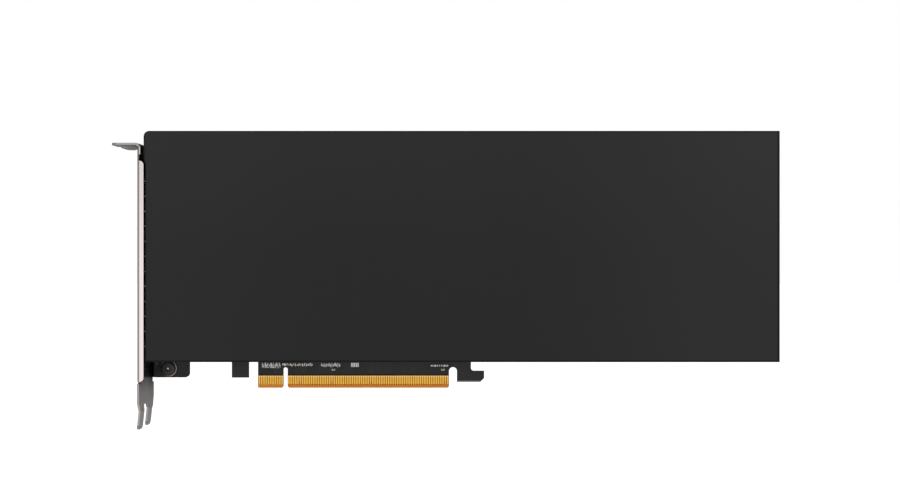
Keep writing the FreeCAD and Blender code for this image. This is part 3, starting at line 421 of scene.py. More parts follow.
def board_finish(settings):
    """Solder mask over faint copper lines, with bare laminate on bevels and cut edges.

    A cut edge is where the surface faces neither of the board's two sides; the bevel is the
    part of it that leans. Copper lines run up from the contacts, two to each.
    """
    material, tree, shader = new_finish("board_finish", 0.0, specular=0.25)
    place = shader_node(tree, "ShaderNodeTexCoord").outputs["Object"]
    spot = card_spot(tree)
    sideways = value_math(tree, "ABSOLUTE", card_facing(tree)["Y"])
    cut = value_math(tree, "LESS_THAN", sideways, 0.999)
    bevel = product(tree, cut, value_math(tree, "GREATER_THAN", sideways, 0.05))
    surface = shader_node(tree, "ShaderNodeGroup", node_tree=GROUPS["surface_grain"], inputs={
        "Grain Scale": 1800.0, "Cloud Scale": 70.0, "Roughness Low": 0.32,
        "Roughness High": 0.5}).outputs

    lines = value_math(tree, "COSINE", product(tree, spot["X"], 2 * math.pi / TRACE_PITCH))
    blocks = shader_node(tree, "ShaderNodeTexVoronoi", distance="CHEBYCHEV", inputs={
        "Vector": place, "Scale": 190.0, "Randomness": 0.9})
    split = shader_node(tree, "ShaderNodeSeparateColor", inputs={0: blocks.outputs["Color"]})
    copper = product(tree, value_math(tree, "GREATER_THAN", lines, 0.35),
                     value_math(tree, "GREATER_THAN", split.outputs[0], 0.45))
    mask = colour_mix(tree, surface["Cloud"], settings.mask_colour,
                      scaled(settings.mask_colour, 2.2))
    mask = colour_mix(tree, copper, mask, scaled(settings.mask_colour, 3.2))
    first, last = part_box("edge_contacts_front")
    within = between(tree, spot["X"], first[0] - TONGUE_MARGINS[0], last[0] + TONGUE_MARGINS[1])
    for rise, tint in ((DARK_BAND, (0.008, 0.004, 0.0008)), (GAP_BAND, settings.gap_colour)):
        under = value_math(tree, "LESS_THAN", spot["Z"], last[2] + rise)
        mask = colour_mix(tree, product(tree, under, within), mask, tint)

    weave = shader_node(tree, "ShaderNodeTexNoise", inputs={
        "Vector": place, "Scale": 900.0, "Detail": 2.0})
    laminate = colour_mix(tree, weave.outputs["Fac"], settings.laminate_colour,
                          scaled(settings.laminate_colour, 0.8))
    # Painted shadow: the laminate on the upper part of the long tongue's lead-in is darkened.
    bevel_shadow = product(tree, value_math(tree, "GREATER_THAN", spot["Z"], BEVEL_SHADOW_HEIGHT),
                   value_math(tree, "GREATER_THAN", spot["X"], 0.0))
    laminate = colour_mix(tree, bevel_shadow, laminate, scaled(settings.laminate_colour, (0.5, 0.4, 0.1)))
    layers = value_math(tree, "SINE", product(tree, spot["Y"], 2 * math.pi / PLY_PITCH))
    edge = colour_mix(tree, value_math(tree, "GREATER_THAN", layers, 0.2),
                      (0.045, 0.028, 0.014), (0.018, 0.012, 0.008))
    colour = colour_mix(tree, cut, mask, edge)
    colour = colour_mix(tree, bevel, colour, (0.14, 0.135, 0.13))
    lead_in = product(tree, bevel, value_math(tree, "LESS_THAN", spot["Z"], TONGUE_TOP))
    colour = colour_mix(tree, lead_in, colour, laminate)

    rough = value_math(tree, "MULTIPLY_ADD", cut, 0.3, surface["Roughness"])
    height = value_math(tree, "MULTIPLY_ADD", surface["Height"], 0.3, copper)
    relief = shader_node(tree, "ShaderNodeBump", inputs={"Distance": 0.00003, "Height": height})
    feed(tree, shader, {"Base Color": colour, "Roughness": rough,
                        "Normal": relief.outputs["Normal"]})
    return material


GROUPS = {}
FINISHES = {}

# For each finish: its material's name, two colours, how metallic, its roughness, and the rest. An
# 'edge' colour in the rest is a painted highlight along the edges.
PLAIN_FINISHES = {
    "ceramic": ("capacitor_ceramic", (0.19, 0.13, 0.085), (0.12, 0.085, 0.06), 0.0, (0.45, 0.6),
                {"cloud": 900.0}),
    "tin": ("tin_terminal", (0.62, 0.62, 0.6), (0.45, 0.45, 0.44), 1.0, (0.3, 0.5),
            {"grain": 6000.0, "cloud": 1200.0}),
    "covered_via": ("covered_via", (0.012, 0.012, 0.012), (0.02, 0.02, 0.019), 0.0, (0.3, 0.4),
                    {"cloud": 800.0, "specular": 0.3}),
    "ink": ("white_ink", (0.95, 0.95, 0.93), (0.86, 0.86, 0.84), 0.0, (0.55, 0.7),
            {"cloud": 800.0}),
    "faint_ink": ("faint_ink", (0.06, 0.065, 0.062), (0.045, 0.05, 0.047), 0.0, (0.5, 0.6),
                  {"cloud": 800.0}),
    "rust_ink": ("rust_ink", (0.42, 0.13, 0.035), (0.3, 0.09, 0.03), 0.0, (0.5, 0.6),
                 {"cloud": 900.0}),
    "dull_tin": ("dull_tin", (0.16, 0.14, 0.14), (0.11, 0.1, 0.1), 0.6, (0.4, 0.55),
                 {"cloud": 900.0}),
    # Brighter gold: a painted highlight on the contact stubs.
    "bright_gold": ("bright_gold", (0.95, 0.62, 0.22), (0.9, 0.55, 0.16), 1.0, (0.25, 0.35),
                    {"cloud": 900.0}),
    "cast": ("cast_frame", (0.020, 0.020, 0.021), (0.032, 0.032, 0.033), 0.0, (0.5, 0.65),
             {"grain": 1600.0, "bump": 0.00004, "cloud": 60.0, "edge": (0.05, 0.05, 0.05)}),
    "copper": ("copper_plate", (0.80, 0.36, 0.22), (0.62, 0.25, 0.14), 1.0, (0.28, 0.45),
               {"grain": 1500.0, "cloud": 60.0}),
    "copper_ring": ("bare_copper_ring", (0.78, 0.52, 0.40), (0.66, 0.42, 0.31), 1.0, (0.25, 0.4),
                    {"cloud": 500.0}),
    "fin": ("fin_aluminium", (0.70, 0.71, 0.72), (0.58, 0.59, 0.60), 1.0, (0.3, 0.45),
            {"grain": 1200.0, "cloud": 40.0, "stretch": (0.05, 1.0, 1.0)}),
    "package": ("package_laminate", (0.02, 0.09, 0.05), (0.015, 0.06, 0.035), 0.0, (0.35, 0.5),
                {"cloud": 200.0}),
    "ring": ("nickel_ring", (0.6, 0.58, 0.55), (0.5, 0.49, 0.47), 1.0, (0.3, 0.4),
             {"cloud": 200.0}),
    "silicon": ("silicon_die", (0.09, 0.10, 0.13), (0.07, 0.08, 0.11), 0.4, (0.12, 0.2),
                {"cloud": 80.0}),
    "paste": ("interface_paste", (0.30, 0.31, 0.32), (0.22, 0.22, 0.23), 0.0, (0.5, 0.7),
              {"grain": 900.0, "bump": 0.00006, "cloud": 150.0}),
    "pad": ("thermal_pad", (0.30, 0.34, 0.40), (0.24, 0.28, 0.34), 0.0, (0.7, 0.85),
            {"grain": 700.0, "bump": 0.00006}),
    "moulded": ("moulded_package", (0.018, 0.018, 0.019), (0.03, 0.03, 0.03), 0.0, (0.5, 0.65),
                {"grain": 2200.0, "bump": 0.00002, "cloud": 300.0}),
    "backplate": ("backplate_anodised", (0.014, 0.014, 0.015), (0.021, 0.021, 0.022), 0.0,
                  (0.38, 0.5), {"grain": 2600.0, "bump": 0.000012, "cloud": 18.0,
                                "edge": (0.06, 0.06, 0.06)}),
    "film": ("insulating_film", (0.02, 0.02, 0.021), (0.03, 0.03, 0.03), 0.0, (0.2, 0.35),
             {"cloud": 40.0}),
    "bolster": ("bolster_spring_steel", (0.44, 0.44, 0.45), (0.34, 0.34, 0.35), 1.0, (0.3, 0.42),
                {"grain": 1400.0, "cloud": 35.0, "stretch": (0.06, 1.0, 1.0),
                 "edge": (0.62, 0.62, 0.62), "shade": shade_recess}),
    "foam": ("pad_foam", (0.03, 0.03, 0.032), (0.05, 0.05, 0.05), 0.0, (0.85, 0.95),
             {"grain": 900.0, "bump": 0.0001}),
    "screw_black": ("black_oxide_screw", (0.024, 0.024, 0.026), (0.045, 0.045, 0.048), 0.55,
                    (0.24, 0.38), {"grain": 3000.0, "bump": 0.000008, "cloud": 400.0,
                                   "edge": (0.16, 0.16, 0.17), "edge_share": 0.8}),
    "screw_steel": ("zinc_screw", (0.6, 0.6, 0.58), (0.48, 0.48, 0.47), 1.0, (0.22, 0.34),
                    {"grain": 3000.0, "bump": 0.000006, "cloud": 300.0,
                     "edge": (0.75, 0.75, 0.74), "edge_share": 0.8}),
    "inlet": ("inlet_nylon", (0.013, 0.013, 0.014), (0.02, 0.02, 0.021), 0.0, (0.4, 0.55),
              {"grain": 2000.0, "bump": 0.000015, "cloud": 90.0, "edge": (0.03, 0.03, 0.03)}),
    "pin": ("tinned_pin", (0.66, 0.64, 0.58), (0.5, 0.48, 0.44), 1.0, (0.25, 0.4),
            {"cloud": 600.0}),
}
# CAD nodes that wear each finish.
FINISH_NODES = {
    "board": "circuit_board", "gold": "edge_contacts_front edge_contacts_back",
    "ceramic": "coupling_capacitors small_passives", "steel": "io_bracket", "cover": "shroud",
    "cast": "base_frame", "copper": "vapour_chamber", "fin": "fin_stack",
    "package": "gpu_substrate", "ring": "stiffener_ring clock_oscillator",
    "silicon": "gpu_die memory_stacks", "paste": "die_thermal_pad", "pad": "vrm_thermal_pads",
    "moulded": "inductors power_stages polymer_capacitors management_chip flash_chip",
    "backplate": "backplate", "film": "insulating_film", "bolster": "bolster_plate",
    "foam": "bolster_pad", "copper_ring": "grounding_rings",
    "screw_black": "board_screws retention_screws backplate_screws shroud_screws",
    "screw_steel": "bracket_screws", "inlet": "power_inlet", "pin": "power_inlet_pins",
}


# ---------------------------------------------------------------- mesh helpers
def solid_boxes(node):
    """Lowest and highest corners of each separate solid of a CAD node.

    Vertices at one place share a number; every face passes its smallest number to its corners
    until nothing changes, so that each solid ends with one number.
    """
    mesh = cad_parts[node].data
    points = np.empty(len(mesh.vertices) * 3)
    mesh.vertices.foreach_get("co", points)
    points = points.reshape(-1, 3)
    mesh.calc_loop_triangles()
    corners = np.empty(len(mesh.loop_triangles) * 3, dtype=np.int64)
    mesh.loop_triangles.foreach_get("vertices", corners)
    _, same = np.unique(np.round(points / 1e-6).astype(np.int64), axis=0, return_inverse=True)
    same = same.ravel()
    triangles = same[corners.reshape(-1, 3)]
    labels = np.arange(same.max() + 1)
    while True:
        lowest = labels[triangles].min(axis=1)
        changed = labels.copy()
        np.minimum.at(changed, triangles.ravel(), np.repeat(lowest, 3))
        if np.array_equal(changed, labels):
            break
        labels = changed
    group = labels[same]
    return [(points[group == g].min(axis=0), points[group == g].max(axis=0))
            for g in np.unique(group)]


def box_corners(*nodes):
    """Lowest and highest corners of the nodes' solids, as two arrays."""
    boxes = np.array([box for node in nodes for box in solid_boxes(node)])
    return boxes[:, 0], boxes[:, 1]


def new_piece(name, points, faces, finish):
    """Closed mesh at the origin that rides on the card, with doubles merged and faces outward."""
    mesh = bpy.data.meshes.new(name)
    mesh.from_pydata(points.tolist(), [], [list(map(int, f)) for f in faces])
    shape = bmesh.new()
    shape.from_mesh(mesh)
    bmesh.ops.remove_doubles(shape, verts=shape.verts, dist=1e-7)
    bmesh.ops.recalc_face_normals(shape, faces=shape.faces)
    shape.to_mesh(mesh)
    shape.free()
    mesh.materials.append(FINISHES[finish])
    mesh.shade_flat()
    piece = bpy.data.objects.new(name, mesh)
    bpy.context.scene.collection.objects.link(piece)
    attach(piece, "root")
    return piece


def box_grid(lows, highs):
    """Vertices and faces of closed boxes, one between each low and high corner."""
    pick = np.array([[0, 0, 0], [1, 0, 0], [1, 1, 0], [0, 1, 0], [0, 0, 1], [1, 0, 1], [1, 1, 1],
                     [0, 1, 1]])
    points = lows[:, None, :] + pick[None] * (highs - lows)[:, None, :]
    sides = np.array([[0, 3, 2, 1], [4, 5, 6, 7], [0, 1, 5, 4], [1, 2, 6, 5], [2, 3, 7, 6],
                      [3, 0, 4, 7]])
    faces = sides[None] + 8 * np.arange(len(lows))[:, None, None]
    return points.reshape(-1, 3), faces.reshape(-1, 4)


def ring_grid(centres, outer, inner, y0, y1, sides):
    """Flat rings round centres (x, z): a rectangle between two radii, carried round a circle."""
    turn = 2 * np.pi * np.arange(sides) / sides
    radii = np.array([outer, outer, inner, inner])
    levels = np.array([y0, y1, y1, y0])
    x = centres[:, 0, None, None] + radii[None, :, None] * np.cos(turn)
    z = centres[:, 1, None, None] + radii[None, :, None] * np.sin(turn)
    y = np.broadcast_to(levels[None, :, None], x.shape)
    points = np.stack([x, y, z], axis=-1).reshape(-1, 3)
    k, j = np.meshgrid(np.arange(4), np.arange(sides), indexing="ij")
    one = np.stack([k * sides + j, k * sides + (j + 1) % sides,
                    (k + 1) % 4 * sides + (j + 1) % sides, (k + 1) % 4 * sides + j], axis=-1)
    faces = one.reshape(1, -1, 4) + 4 * sides * np.arange(len(centres))[:, None, None]
    return points, faces.reshape(-1, 4)


def disc_grid(centres, radius, y0, y1, sides=16):
    """Short round posts at centres (x, z): the side as quads, and one face at each end."""
    turn = 2 * np.pi * np.arange(sides) / sides
    x = centres[:, 0, None, None] + radius * np.cos(turn)[None, None] + np.zeros((1, 2, 1))
    z = centres[:, 1, None, None] + radius * np.sin(turn)[None, None] + np.zeros((1, 2, 1))
    y = np.broadcast_to(np.array([y0, y1])[None, :, None], x.shape)
    points = np.stack([x, y, z], axis=-1).reshape(-1, 3)
    j = np.arange(sides)
    wall = np.stack([j, (j + 1) % sides, sides + (j + 1) % sides, sides + j], axis=-1)
    faces = []
    for first in 2 * sides * np.arange(len(centres)):
        faces += [*(wall + first), j + first, j[::-1] + sides + first]
    return points, faces


# ---------------------------------------------------------------- fasteners
SCREW_TURN = 48                # steps round a screw
THREAD_PITCH = 0.5             # mm, as are all lengths of a screw here
THREAD_DEPTH = 0.16
TIP_LENGTH = 0.4               # cone at the shaft's end, which narrows to this share
TIP_SHARE = 0.7
LOBES = 6                      # of the recess, and how far they swell its radius
LOBE_SWELL = 0.13
POST_RADIUS = 0.42             # post in the ear screws' recess, put there as a stand-in glint, and its two ends' depths
POST_ENDS = (0.45, 1.5)


def screw_grid(head, recess, shaft, length, thread):
    """Screw along its own +Z: rings from the recess floor over the head and down the shaft.

    Each ring is a height and a radius. In the recess the radius swells once per lobe round the
    circle; on the thread it falls and rises once per pitch, shifted by the turn, as a helix.
    """
    turn = 2 * np.pi * np.arange(SCREW_TURN) / SCREW_TURN
    none = np.zeros(SCREW_TURN)
    star = recess[0] * (1 + LOBE_SWELL * np.cos(LOBES * turn))
    top = head[0][0]
    rings = [(top + recess[1], none), (top + recess[1], star * 0.96), (top + 0.08, star),
             (top, star + 0.05)]
    rings += [(level, none + radius) for level, radius in head]
    start, tip = head[-1][0], length - TIP_LENGTH
    if thread:
        for level in np.linspace(start, tip, int((tip - start) / (THREAD_PITCH / 6))):
            part = (level / THREAD_PITCH - turn / (2 * np.pi)) % 1.0
            rings.append((level, shaft - THREAD_DEPTH * np.abs(2 * part - 1)))
    else:
        rings.append((tip, none + shaft))
    rings += [(length, none + shaft * TIP_SHARE), (length, none)]
    levels = np.array([level for level, _ in rings])[:, None] + none
    radii = np.array([ring for _, ring in rings])
    points = np.stack([radii * np.cos(turn), radii * np.sin(turn), levels], axis=-1)
    k, j = np.meshgrid(np.arange(len(rings) - 1), np.arange(SCREW_TURN), indexing="ij")
    after = (j + 1) % SCREW_TURN
    faces = np.stack([k * SCREW_TURN + j, k * SCREW_TURN + after, (k + 1) * SCREW_TURN + after,
                      (k + 1) * SCREW_TURN + j], axis=-1)
    return points.reshape(-1, 3) * MM, faces.reshape(-1, 4)


def pan_head(radius, height, crown, shaft):
    """Heights and radii of a low domed head: flat top, round crown, side and underside."""
    bend = np.linspace(0, np.pi / 2, 6)
    rim = [(-height + crown * (1 - math.cos(b)), radius - crown * (1 - math.sin(b))) for b in bend]
    return rim + [(0.0, radius), (0.0, shaft)]


def flat_head(radius, shaft):
    """Heights and radii of a countersunk head that is flush with its sheet."""
    return [(0.0, radius - 0.1), (0.06, radius), (radius - shaft, shaft)]


# Piece, CAD node, axis, way along it (0 is inwards), head and its height, recess's radius and
# depth, shaft's radius, length, thread, and finish; lengths in mm.
EAR_SCREWS = ("ear_screws", "board_screws", 1, 1, pan_head(3.32, 2.2, 0.9, 1.45), 2.2,
              (1.15, 1.3), 1.45, 4.4, True, "screw_black")
OTHER_SCREWS = (
    ("cooler_screws", "retention_screws", 1, -1, pan_head(2.6, 0.9, 0.4, 1.45), 0.9,
     (1.1, 0.55), 1.45, 9.0, False, "screw_black"),
    ("plate_screws", "backplate_screws", 1, -1, pan_head(2.3, 0.6, 0.25, 1.2), 0.6,
     (1.0, 0.4), 1.2, 7.0, False, "screw_black"),
    ("cover_screws", "shroud_screws", 2, 0, flat_head(2.2, 1.2), 0.0,
     (0.95, 0.7), 1.2, 4.5, False, "screw_black"),
    ("plate_side_screws", "bracket_screws", 0, 1, flat_head(2.2, 1.2), 0.0,
     (0.95, 0.7), 1.2, 5.0, False, "screw_steel"),
)


def placed(points, origin, axis, sign):
    """Points turned so that their +Z runs along an axis of the card, then moved to a place."""
    order = {0: (2, 0, 1), 1: (1, 2, 0), 2: (0, 1, 2)}[axis]
    turned = points[:, order].copy()
    if sign < 0:
        turned[:, axis] *= -1
        turned[:, (axis + 1) % 3] *= -1
    return turned + origin


def screw_set(name, node, axis, way, head, height, recess, shaft, length, thread, finish):
    """One piece for all the screws of a CAD node, in place of it."""
    points, faces = screw_grid(head, recess, shaft, length, thread)
    all_points = []
    for low, high in solid_boxes(node):
        sign = way or (1 if low[axis] < (CAD_BOX[0][axis] + CAD_BOX[1][axis]) / 2 else -1)
        origin = (low + high) / 2
        origin[axis] = low[axis] + height * MM if sign > 0 else high[axis] - height * MM
        all_points.append(placed(points, origin, axis, sign))
    firsts = len(points) * np.arange(len(all_points))[:, None, None]
    piece = new_piece(name, np.concatenate(all_points), (faces + firsts).reshape(-1, 4), finish)
    smooth_by_angle(piece, math.radians(35))
    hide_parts(node)


def smooth_by_angle(piece, angle):
    """Smooth shading that stays sharp where faces meet at more than the angle."""
    mesh = piece.data
    shape = bmesh.new()
    shape.from_mesh(mesh)
    for face in shape.faces:
        face.smooth = True
    for edge in shape.edges:
        edge.smooth = len(edge.link_faces) == 2 and edge.calc_face_angle(0.0) < angle
    shape.to_mesh(mesh)
    shape.free()


# ---------------------------------------------------------------- operators
class CARD_OT_finishes(bpy.types.Operator):
    """Make every finish and put one on each solid of the card"""

    bl_idname = "card.finishes"
    bl_label = "Finishes"

    def execute(self, context):
        board = context.scene.card_board
        gold = board.gold_colour
        sheet = context.scene.card_sheet
        cover, steel = sheet.cover_colour, sheet.steel_colour
        GROUPS["surface_grain"] = build_surface_grain()
        GROUPS["soft_edges"] = build_soft_edges()
        FINISHES["board"] = board_finish(board)
        FINISHES["gold"] = grained_finish(
            "gold_finish", gold, scaled(gold, 0.86), 1.0, (0.2, 0.34), grain=5000.0,
            bump=0.000004, cloud=600.0, stretch=(1.0, 1.0, 0.15), shade=shade_contacts)
        # The bracket's paler edge colour is a painted highlight; the cover's darker one is painted
        # shade along its bends.
        FINISHES["steel"] = grained_finish(
            "bracket_steel", steel, scaled(steel, 0.9), 1.0, (0.2, 0.3), grain=1500.0,
            bump=0.000006, cloud=25.0, stretch=(3.0, 3.0, 0.08), edge=scaled(steel, 1.1),
            shade=shade_bracket)
        FINISHES["cover"] = grained_finish(
            "cover_paint", cover, scaled(cover, 1.35), 0.0, (0.42, 0.52), grain=3800.0,
            bump=0.000016, cloud=12.0, specular=0.17, edge=scaled(cover, 0.3), edge_share=3.0,
            shade=shade_cover)
        for finish, (*basics, others) in PLAIN_FINISHES.items():
            FINISHES[finish] = grained_finish(*basics, **others)
        for finish, nodes in FINISH_NODES.items():
            for node in nodes.split():
                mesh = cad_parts[node].data
                mesh.materials.clear()
                mesh.materials.append(FINISHES[finish])
        return {"FINISHED"}


SOLDER_SKIN = 0.02 * MM        # tin round a chip part's ends
PAD_HEIGHT = 0.04 * MM
PAD_MARGIN = np.array([0.25, 0.0, 0.08]) * MM


class CARD_OT_chip_terminals(bpy.types.Operator):
    """Tinned terminals, solder and pads of the chip parts above the contacts"""

    bl_idname = "card.chip_terminals"
    bl_label = "Chip terminals"

    def execute(self, context):
        lows, highs = box_corners("coupling_capacitors", "small_passives")
        skin = SOLDER_SKIN
        reach = (highs[:, 0] - lows[:, 0]) * context.scene.card_board.cap_share
        near_low = lows - [skin, skin, skin]
        near_high = highs + [0, 0, skin]
        near_high[:, 0] = lows[:, 0] + reach
        far_low = lows - [0, skin, skin]
        far_low[:, 0] = highs[:, 0] - reach
        far_high = highs + [skin, 0, skin]
        points, faces = box_grid(np.concatenate([near_low, far_low]),
                                 np.concatenate([near_high, far_high]))
        new_piece("chip_terminals", points, faces, "tin")
        pad_low = lows - PAD_MARGIN
        pad_high = highs + PAD_MARGIN
        pad_low[:, 1] = FRONT_FACE - PAD_HEIGHT
        pad_high[:, 1] = FRONT_FACE
        left = pad_high.copy()
        left[:, 0] = lows[:, 0] + reach
        right = pad_low.copy()
        right[:, 0] = highs[:, 0] - reach
        points, faces = box_grid(np.concatenate([pad_low, right]),
                                 np.concatenate([left, pad_high]))
        new_piece("chip_pads", points, faces, "tin")
        return {"FINISHED"}


# Start, end, lowest, highest and pitch of each row of printed marks, in mm.
MARK_ROWS = ((-10.4, -2.2, 8.9, 11.0, 0.62), (-9.0, -3.0, 8.6, 9.3, 1.1),
             (-1.4, 2.4, 9.7, 10.9, 0.7), (2.6, 11.9, 9.5, 10.9, 0.8),
             (15.7, 24.3, 9.1, 11.0, 0.66), (64.0, 71.8, 9.3, 10.2, 0.95))
# Single marks, each from x, z to x, z, in mm.
MARK_BLOCKS = ((28.9, 9.2, 29.7, 11.0), (29.9, 9.2, 30.7, 11.0), (30.9, 9.2, 31.6, 11.0),
               (31.75, 9.2, 32.3, 11.0), (20.8, 7.6, 21.4, 8.2), (69.1, 7.6, 69.7, 8.2))
FINE_RULES = ((38.0, 7.0, 38.12, 10.2), (38.5, 6.6, 38.6, 9.4), (-4.6, 6.4, -4.5, 8.4),
              (7.7, 6.3, 7.78, 9.0))
RUST_SPECKS = ((0.3, 9.6, 0.9, 10.3), (3.6, 9.7, 4.2, 10.5), (5.9, 9.5, 6.9, 10.1),
               (8.6, 9.6, 9.0, 10.4), (10.6, 9.5, 11.1, 10.2))
AIMING_SPOT = (-56.8, 10.6)
AIMING_RADIUS = 0.45


def mark_row(start, stop, low, high, pitch):
    """Row of small plain marks; widths and heights swing along it without repeating."""
    x = np.arange(start, stop, pitch)
    wide = pitch * (0.64 + 0.26 * np.sin(7.3 * x))
    foot = low + (high - low) * (0.14 + 0.14 * np.sin(11.7 * x))
    top = high - (high - low) * (0.16 + 0.16 * np.sin(5.1 * x + 1.0))
    return np.stack([x, foot, np.minimum(x + wide, stop), top], axis=1)


def flat_marks(name, marks, thickness, finish):
    """Thin closed boxes on the component face, each from x, z to x, z in mm."""
    lows = np.asarray(marks)[:, [0, 0, 1]] * MM
    highs = np.asarray(marks)[:, [2, 0, 3]] * MM
    lows[:, 1] = FRONT_FACE - thickness
    highs[:, 1] = FRONT_FACE
    points, faces = box_grid(lows, highs)
    new_piece(name, points, faces, finish)


class CARD_OT_printed_marks(bpy.types.Operator):
    """White printed bars, specks and fine lines on the board, none of them lettering"""

    bl_idname = "card.printed_marks"
    bl_label = "Printed marks"

    def execute(self, context):
        ink = context.scene.card_board.ink_height
        bars = np.concatenate([*(mark_row(*row) for row in MARK_ROWS), MARK_BLOCKS])
        flat_marks("printed_marks", bars, ink, "ink")
        flat_marks("fine_rules", FINE_RULES, ink, "faint_ink")
        flat_marks("rust_specks", RUST_SPECKS, 2 * ink, "rust_ink")
        points, faces = disc_grid(np.array([AIMING_SPOT]) * MM, AIMING_RADIUS * MM,
                                  FRONT_FACE - 2 * ink, FRONT_FACE)
        new_piece("aiming_spots", points, faces, "dull_tin")
        return {"FINISHED"}


STUB_HALF = 0.16 * MM          # half its width
STUB_SKIN = 0.03 * MM
STUB_END = 1.4 * MM


class CARD_OT_contact_stubs(bpy.types.Operator):
    """Short plated stubs from the contacts' lower ends down the connector's bevel"""

    bl_idname = "card.contact_stubs"
    bl_label = "Contact stubs"

    def execute(self, context):
        lows, highs = box_corners("edge_contacts_front")
        feet = lows[:, 2]
        middles = (lows[:, 0] + highs[:, 0]) / 2
        level = np.full_like(middles, FRONT_FACE)
        upright = np.full_like(middles, BEVEL_HEIGHT)
        lows = np.stack([middles - STUB_HALF, level - STUB_SKIN, upright], axis=1)
        highs = np.stack([middles + STUB_HALF, level, feet + STUB_SKIN], axis=1)
        points, faces = box_grid(lows, highs)
        slope, more = box_grid(lows * [1, 1, 0] + [0, 0, STUB_END],
                               highs * [1, 1, 0] + [0, 0, BEVEL_HEIGHT])
        slope[:, 1] += (BEVEL_HEIGHT - slope[:, 2]) * BEVEL_DEPTH / BEVEL_HEIGHT
        # The stubs are real plating; their brighter gold is a painted highlight.
        new_piece("contact_stubs", np.concatenate([points, slope]),
                  np.concatenate([faces, more + len(points)]), "bright_gold")
        return {"FINISHED"}


# Start, end and pitch of two staggered rows of vias, the line that each follows, and how far
# every second one stands off it, in mm: along X above the contacts, and up Z at the bracket.
LOWER_VIAS = (2.6, 71.5, 1.5, 7.0, 0.9)
SIDE_VIAS = (20.0, 94.0, 2.6, -55.6, 2.4)
VIA_SKIN = 0.015 * MM
VIA_SIDES = 12


def staggered(start, end, pitch, line, offset):
    """Places along a line and across it, every second one set off."""
    along = np.arange(start, end, pitch)
    return along, line + offset * (np.arange(len(along)) % 2)


class CARD_OT_vias(bpy.types.Operator):
    """Plated vias near the board's open edges, on both faces"""

    bl_idname = "card.vias"
    bl_label = "Vias"

    def execute(self, context):
        radius = context.scene.card_board.via_radius
        lower = np.stack(staggered(*LOWER_VIAS), axis=1) * MM
        side = np.stack(staggered(*SIDE_VIAS)[::-1], axis=1) * MM
        front = ring_grid(lower, radius, radius * 0.5, FRONT_FACE - VIA_SKIN, FRONT_FACE,
                          VIA_SIDES)
        back = ring_grid(np.concatenate([lower, side]), radius, radius * 0.5, BACK_FACE,
                         BACK_FACE + VIA_SKIN, VIA_SIDES)
        points = np.concatenate([front[0], back[0]])
        faces = np.concatenate([front[1], back[1] + len(front[0])])
        new_piece("via_rings", points, faces, "covered_via")
        return {"FINISHED"}


class CARD_OT_screws(bpy.types.Operator):
    """Screws with six-lobed recesses in place of the plain ones"""

    bl_idname = "card.screws"
    bl_label = "Screws"

    def execute(self, context):
        screw_set(*EAR_SCREWS)
        # Steel posts in the ear screws' recesses: security pins, put there to stand in for the
        # glint in them.
        lows, highs = box_corners("board_screws")
        near, far = (lows[:, 1].min() + depth * MM for depth in POST_ENDS)
        points, faces = disc_grid(((lows + highs) / 2)[:, [0, 2]], POST_RADIUS * MM, near, far)
        new_piece("recess_glint_posts", points, faces, "screw_steel")
        for row in OTHER_SCREWS:
            screw_set(*row)
        return {"FINISHED"}


# ---------------------------------------------------------------- stage
FLOOR_SIZE = 12.0
FLOOR_MIDDLE = 5.7             # its near edge is just in front of the card
LAMP_TARGET = (0.07, 0.0, 0.06)
# Name, place, side and power of each lamp.
LAMPS = (("key", (-0.55, -1.15, 0.95), 1.0, 4.5), ("fill", (0.95, -1.0, 0.35), 1.0, 2.0),
         ("back", (-0.75, 1.15, 0.75), 0.9, 6.0))


def floor_finish(settings):
    """Pale paper: white to the camera, and duller where a glossy surface mirrors it."""
    material, tree, shader = new_finish("floor_paper", 0.0, specular=0.2)
    colour = settings.floor_colour
    place = shader_node(tree, "ShaderNodeTexCoord").outputs["Object"]
    cloud = shader_node(tree, "ShaderNodeTexNoise", inputs={
        "Vector": place, "Scale": 3.0, "Detail": 2.0})
    paper = colour_mix(tree, cloud.outputs["Fac"], colour, scaled(colour, 0.98))
    seen = shader_node(tree, "ShaderNodeLightPath").outputs
    paper = colour_mix(tree, seen["Is Glossy Ray"], paper, scaled(colour, 0.6))
    glow = product(tree, seen["Is Camera Ray"], settings.floor_glow)
    feed(tree, shader, {"Base Color": paper, "Roughness": 0.9,
                        "Emission Color": (1.0, 1.0, 1.0), "Emission Strength": glow})
    return material


def soft_light(name, place, size, power):
    """Large square lamp at a place, pointed at the card's middle."""
    lamp = bpy.data.lights.new(name, "AREA")
    lamp.shape = "SQUARE"
    lamp.size = size
    lamp.energy = power
    light = bpy.data.objects.new(name, lamp)
    away = np.subtract(place, LAMP_TARGET)
    light.location = place
    light.rotation_euler = (math.atan2(math.hypot(away[0], away[1]), away[2]), 0.0,
                            math.atan2(away[1], away[0]) + math.pi / 2)
    bpy.context.scene.collection.objects.link(light)


def build_world(scene, settings):
    """White surroundings to the eye; as light, brighter in front and below than behind."""
    world = bpy.data.worlds.new("studio")
    scene.world = world
    world.use_nodes = True
    tree = world.node_tree
    way = split_vector(tree, "ShaderNodeTexCoord", "Generated")
    ahead = map_range(tree, way["Y"], -0.92, -0.35, settings.front_light, settings.back_light)
    light = product(tree, ahead, map_range(tree, way["Z"], -0.3, 0.3, 1.12, 0.92))
    seen = shader_node(tree, "ShaderNodeLightPath").outputs["Is Camera Ray"]
    level = shader_node(tree, "ShaderNodeMix", data_type="FLOAT",
                        inputs={0: seen, 2: light, 3: 1.0})
    feed(tree, tree.nodes["Background"], {"Strength": level.outputs[0], "Color": (1.0, 1.0, 1.0)})


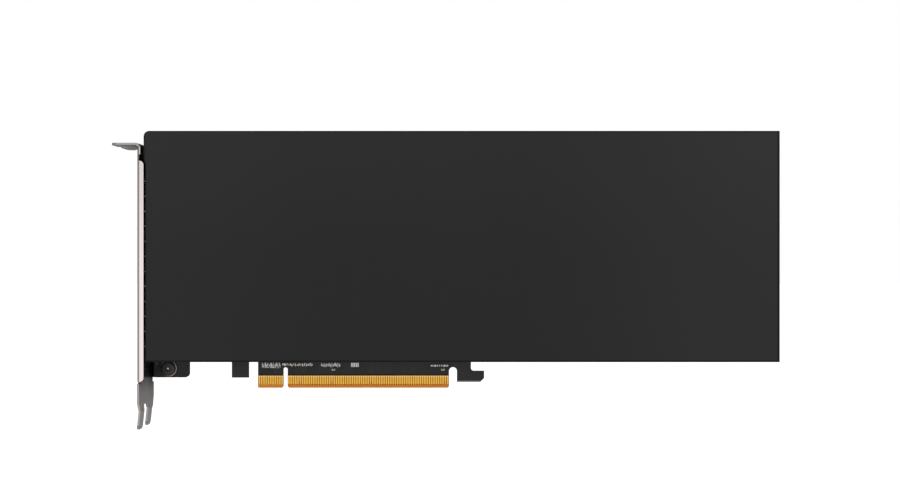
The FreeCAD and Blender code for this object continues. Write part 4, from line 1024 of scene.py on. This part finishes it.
class CARD_OT_stage(bpy.types.Operator):
    """Pale floor, soft light and camera"""

    bl_idname = "card.stage"
    bl_label = "Stage"

    def execute(self, context):
        scene = context.scene
        settings = scene.card_stage
        scene.view_settings.view_transform = "Standard"
        build_world(scene, settings)
        floor_level = CAD_BOX[0][2] - settings.floor_drop
        bpy.ops.mesh.primitive_plane_add(
            size=FLOOR_SIZE, location=(CAD_BOX[0][0], FLOOR_MIDDLE, floor_level))
        floor = context.active_object
        floor.name = "floor"
        floor.data.materials.append(floor_finish(settings))
        for lamp in LAMPS:
            soft_light(*lamp)
        camera = bpy.data.cameras.new("camera")
        camera.lens = settings.lens
        camera.sensor_width = 36.0
        camera.clip_start = 0.01
        camera.clip_end = 60.0
        view = bpy.data.objects.new("camera", camera)
        view.location = (settings.camera_x, FRONT_FACE - settings.camera_distance,
                         settings.camera_z)
        view.rotation_euler = (math.pi / 2, 0.0, 0.0)
        scene.collection.objects.link(view)
        scene.camera = view
        return {"FINISHED"}


# ---------------------------------------------------------------- add-on
class CARD_PT_panel(bpy.types.Panel):
    """Steps that dress the card"""

    bl_idname = "CARD_PT_panel"
    bl_label = "Accelerator card"
    bl_space_type = "VIEW_3D"
    bl_region_type = "UI"
    bl_category = "Card"

    def draw(self, context):
        for step in STEPS:
            self.layout.operator(step.bl_idname)
        for settings in (context.scene.card_stage, context.scene.card_board,
                         context.scene.card_sheet):
            for key in settings.__annotations__:
                self.layout.prop(settings, key)


STEPS = (CARD_OT_finishes, CARD_OT_chip_terminals, CARD_OT_printed_marks, CARD_OT_contact_stubs,
         CARD_OT_vias, CARD_OT_screws, CARD_OT_stage)
SETTINGS = (("card_stage", StageSettings), ("card_board", BoardSettings),
            ("card_sheet", SheetSettings))


def register():
    """Adds the settings, the steps and the panel."""
    for name, group in SETTINGS:
        bpy.utils.register_class(group)
        setattr(bpy.types.Scene, name, bpy.props.PointerProperty(type=group))
    for item in STEPS + (CARD_PT_panel,):
        bpy.utils.register_class(item)


def unregister():
    """Takes them away again."""
    for item in (CARD_PT_panel,) + STEPS[::-1]:
        bpy.utils.unregister_class(item)
    for name, group in SETTINGS:
        delattr(bpy.types.Scene, name)
        bpy.utils.unregister_class(group)


def main():
    """Dresses the card step by step."""
    register()
    bpy.ops.card.finishes()
    bpy.ops.card.chip_terminals()
    bpy.ops.card.printed_marks()
    bpy.ops.card.contact_stubs()
    bpy.ops.card.vias()
    bpy.ops.card.screws()
    bpy.ops.card.stage()


if __name__ == "__main__":
    main()
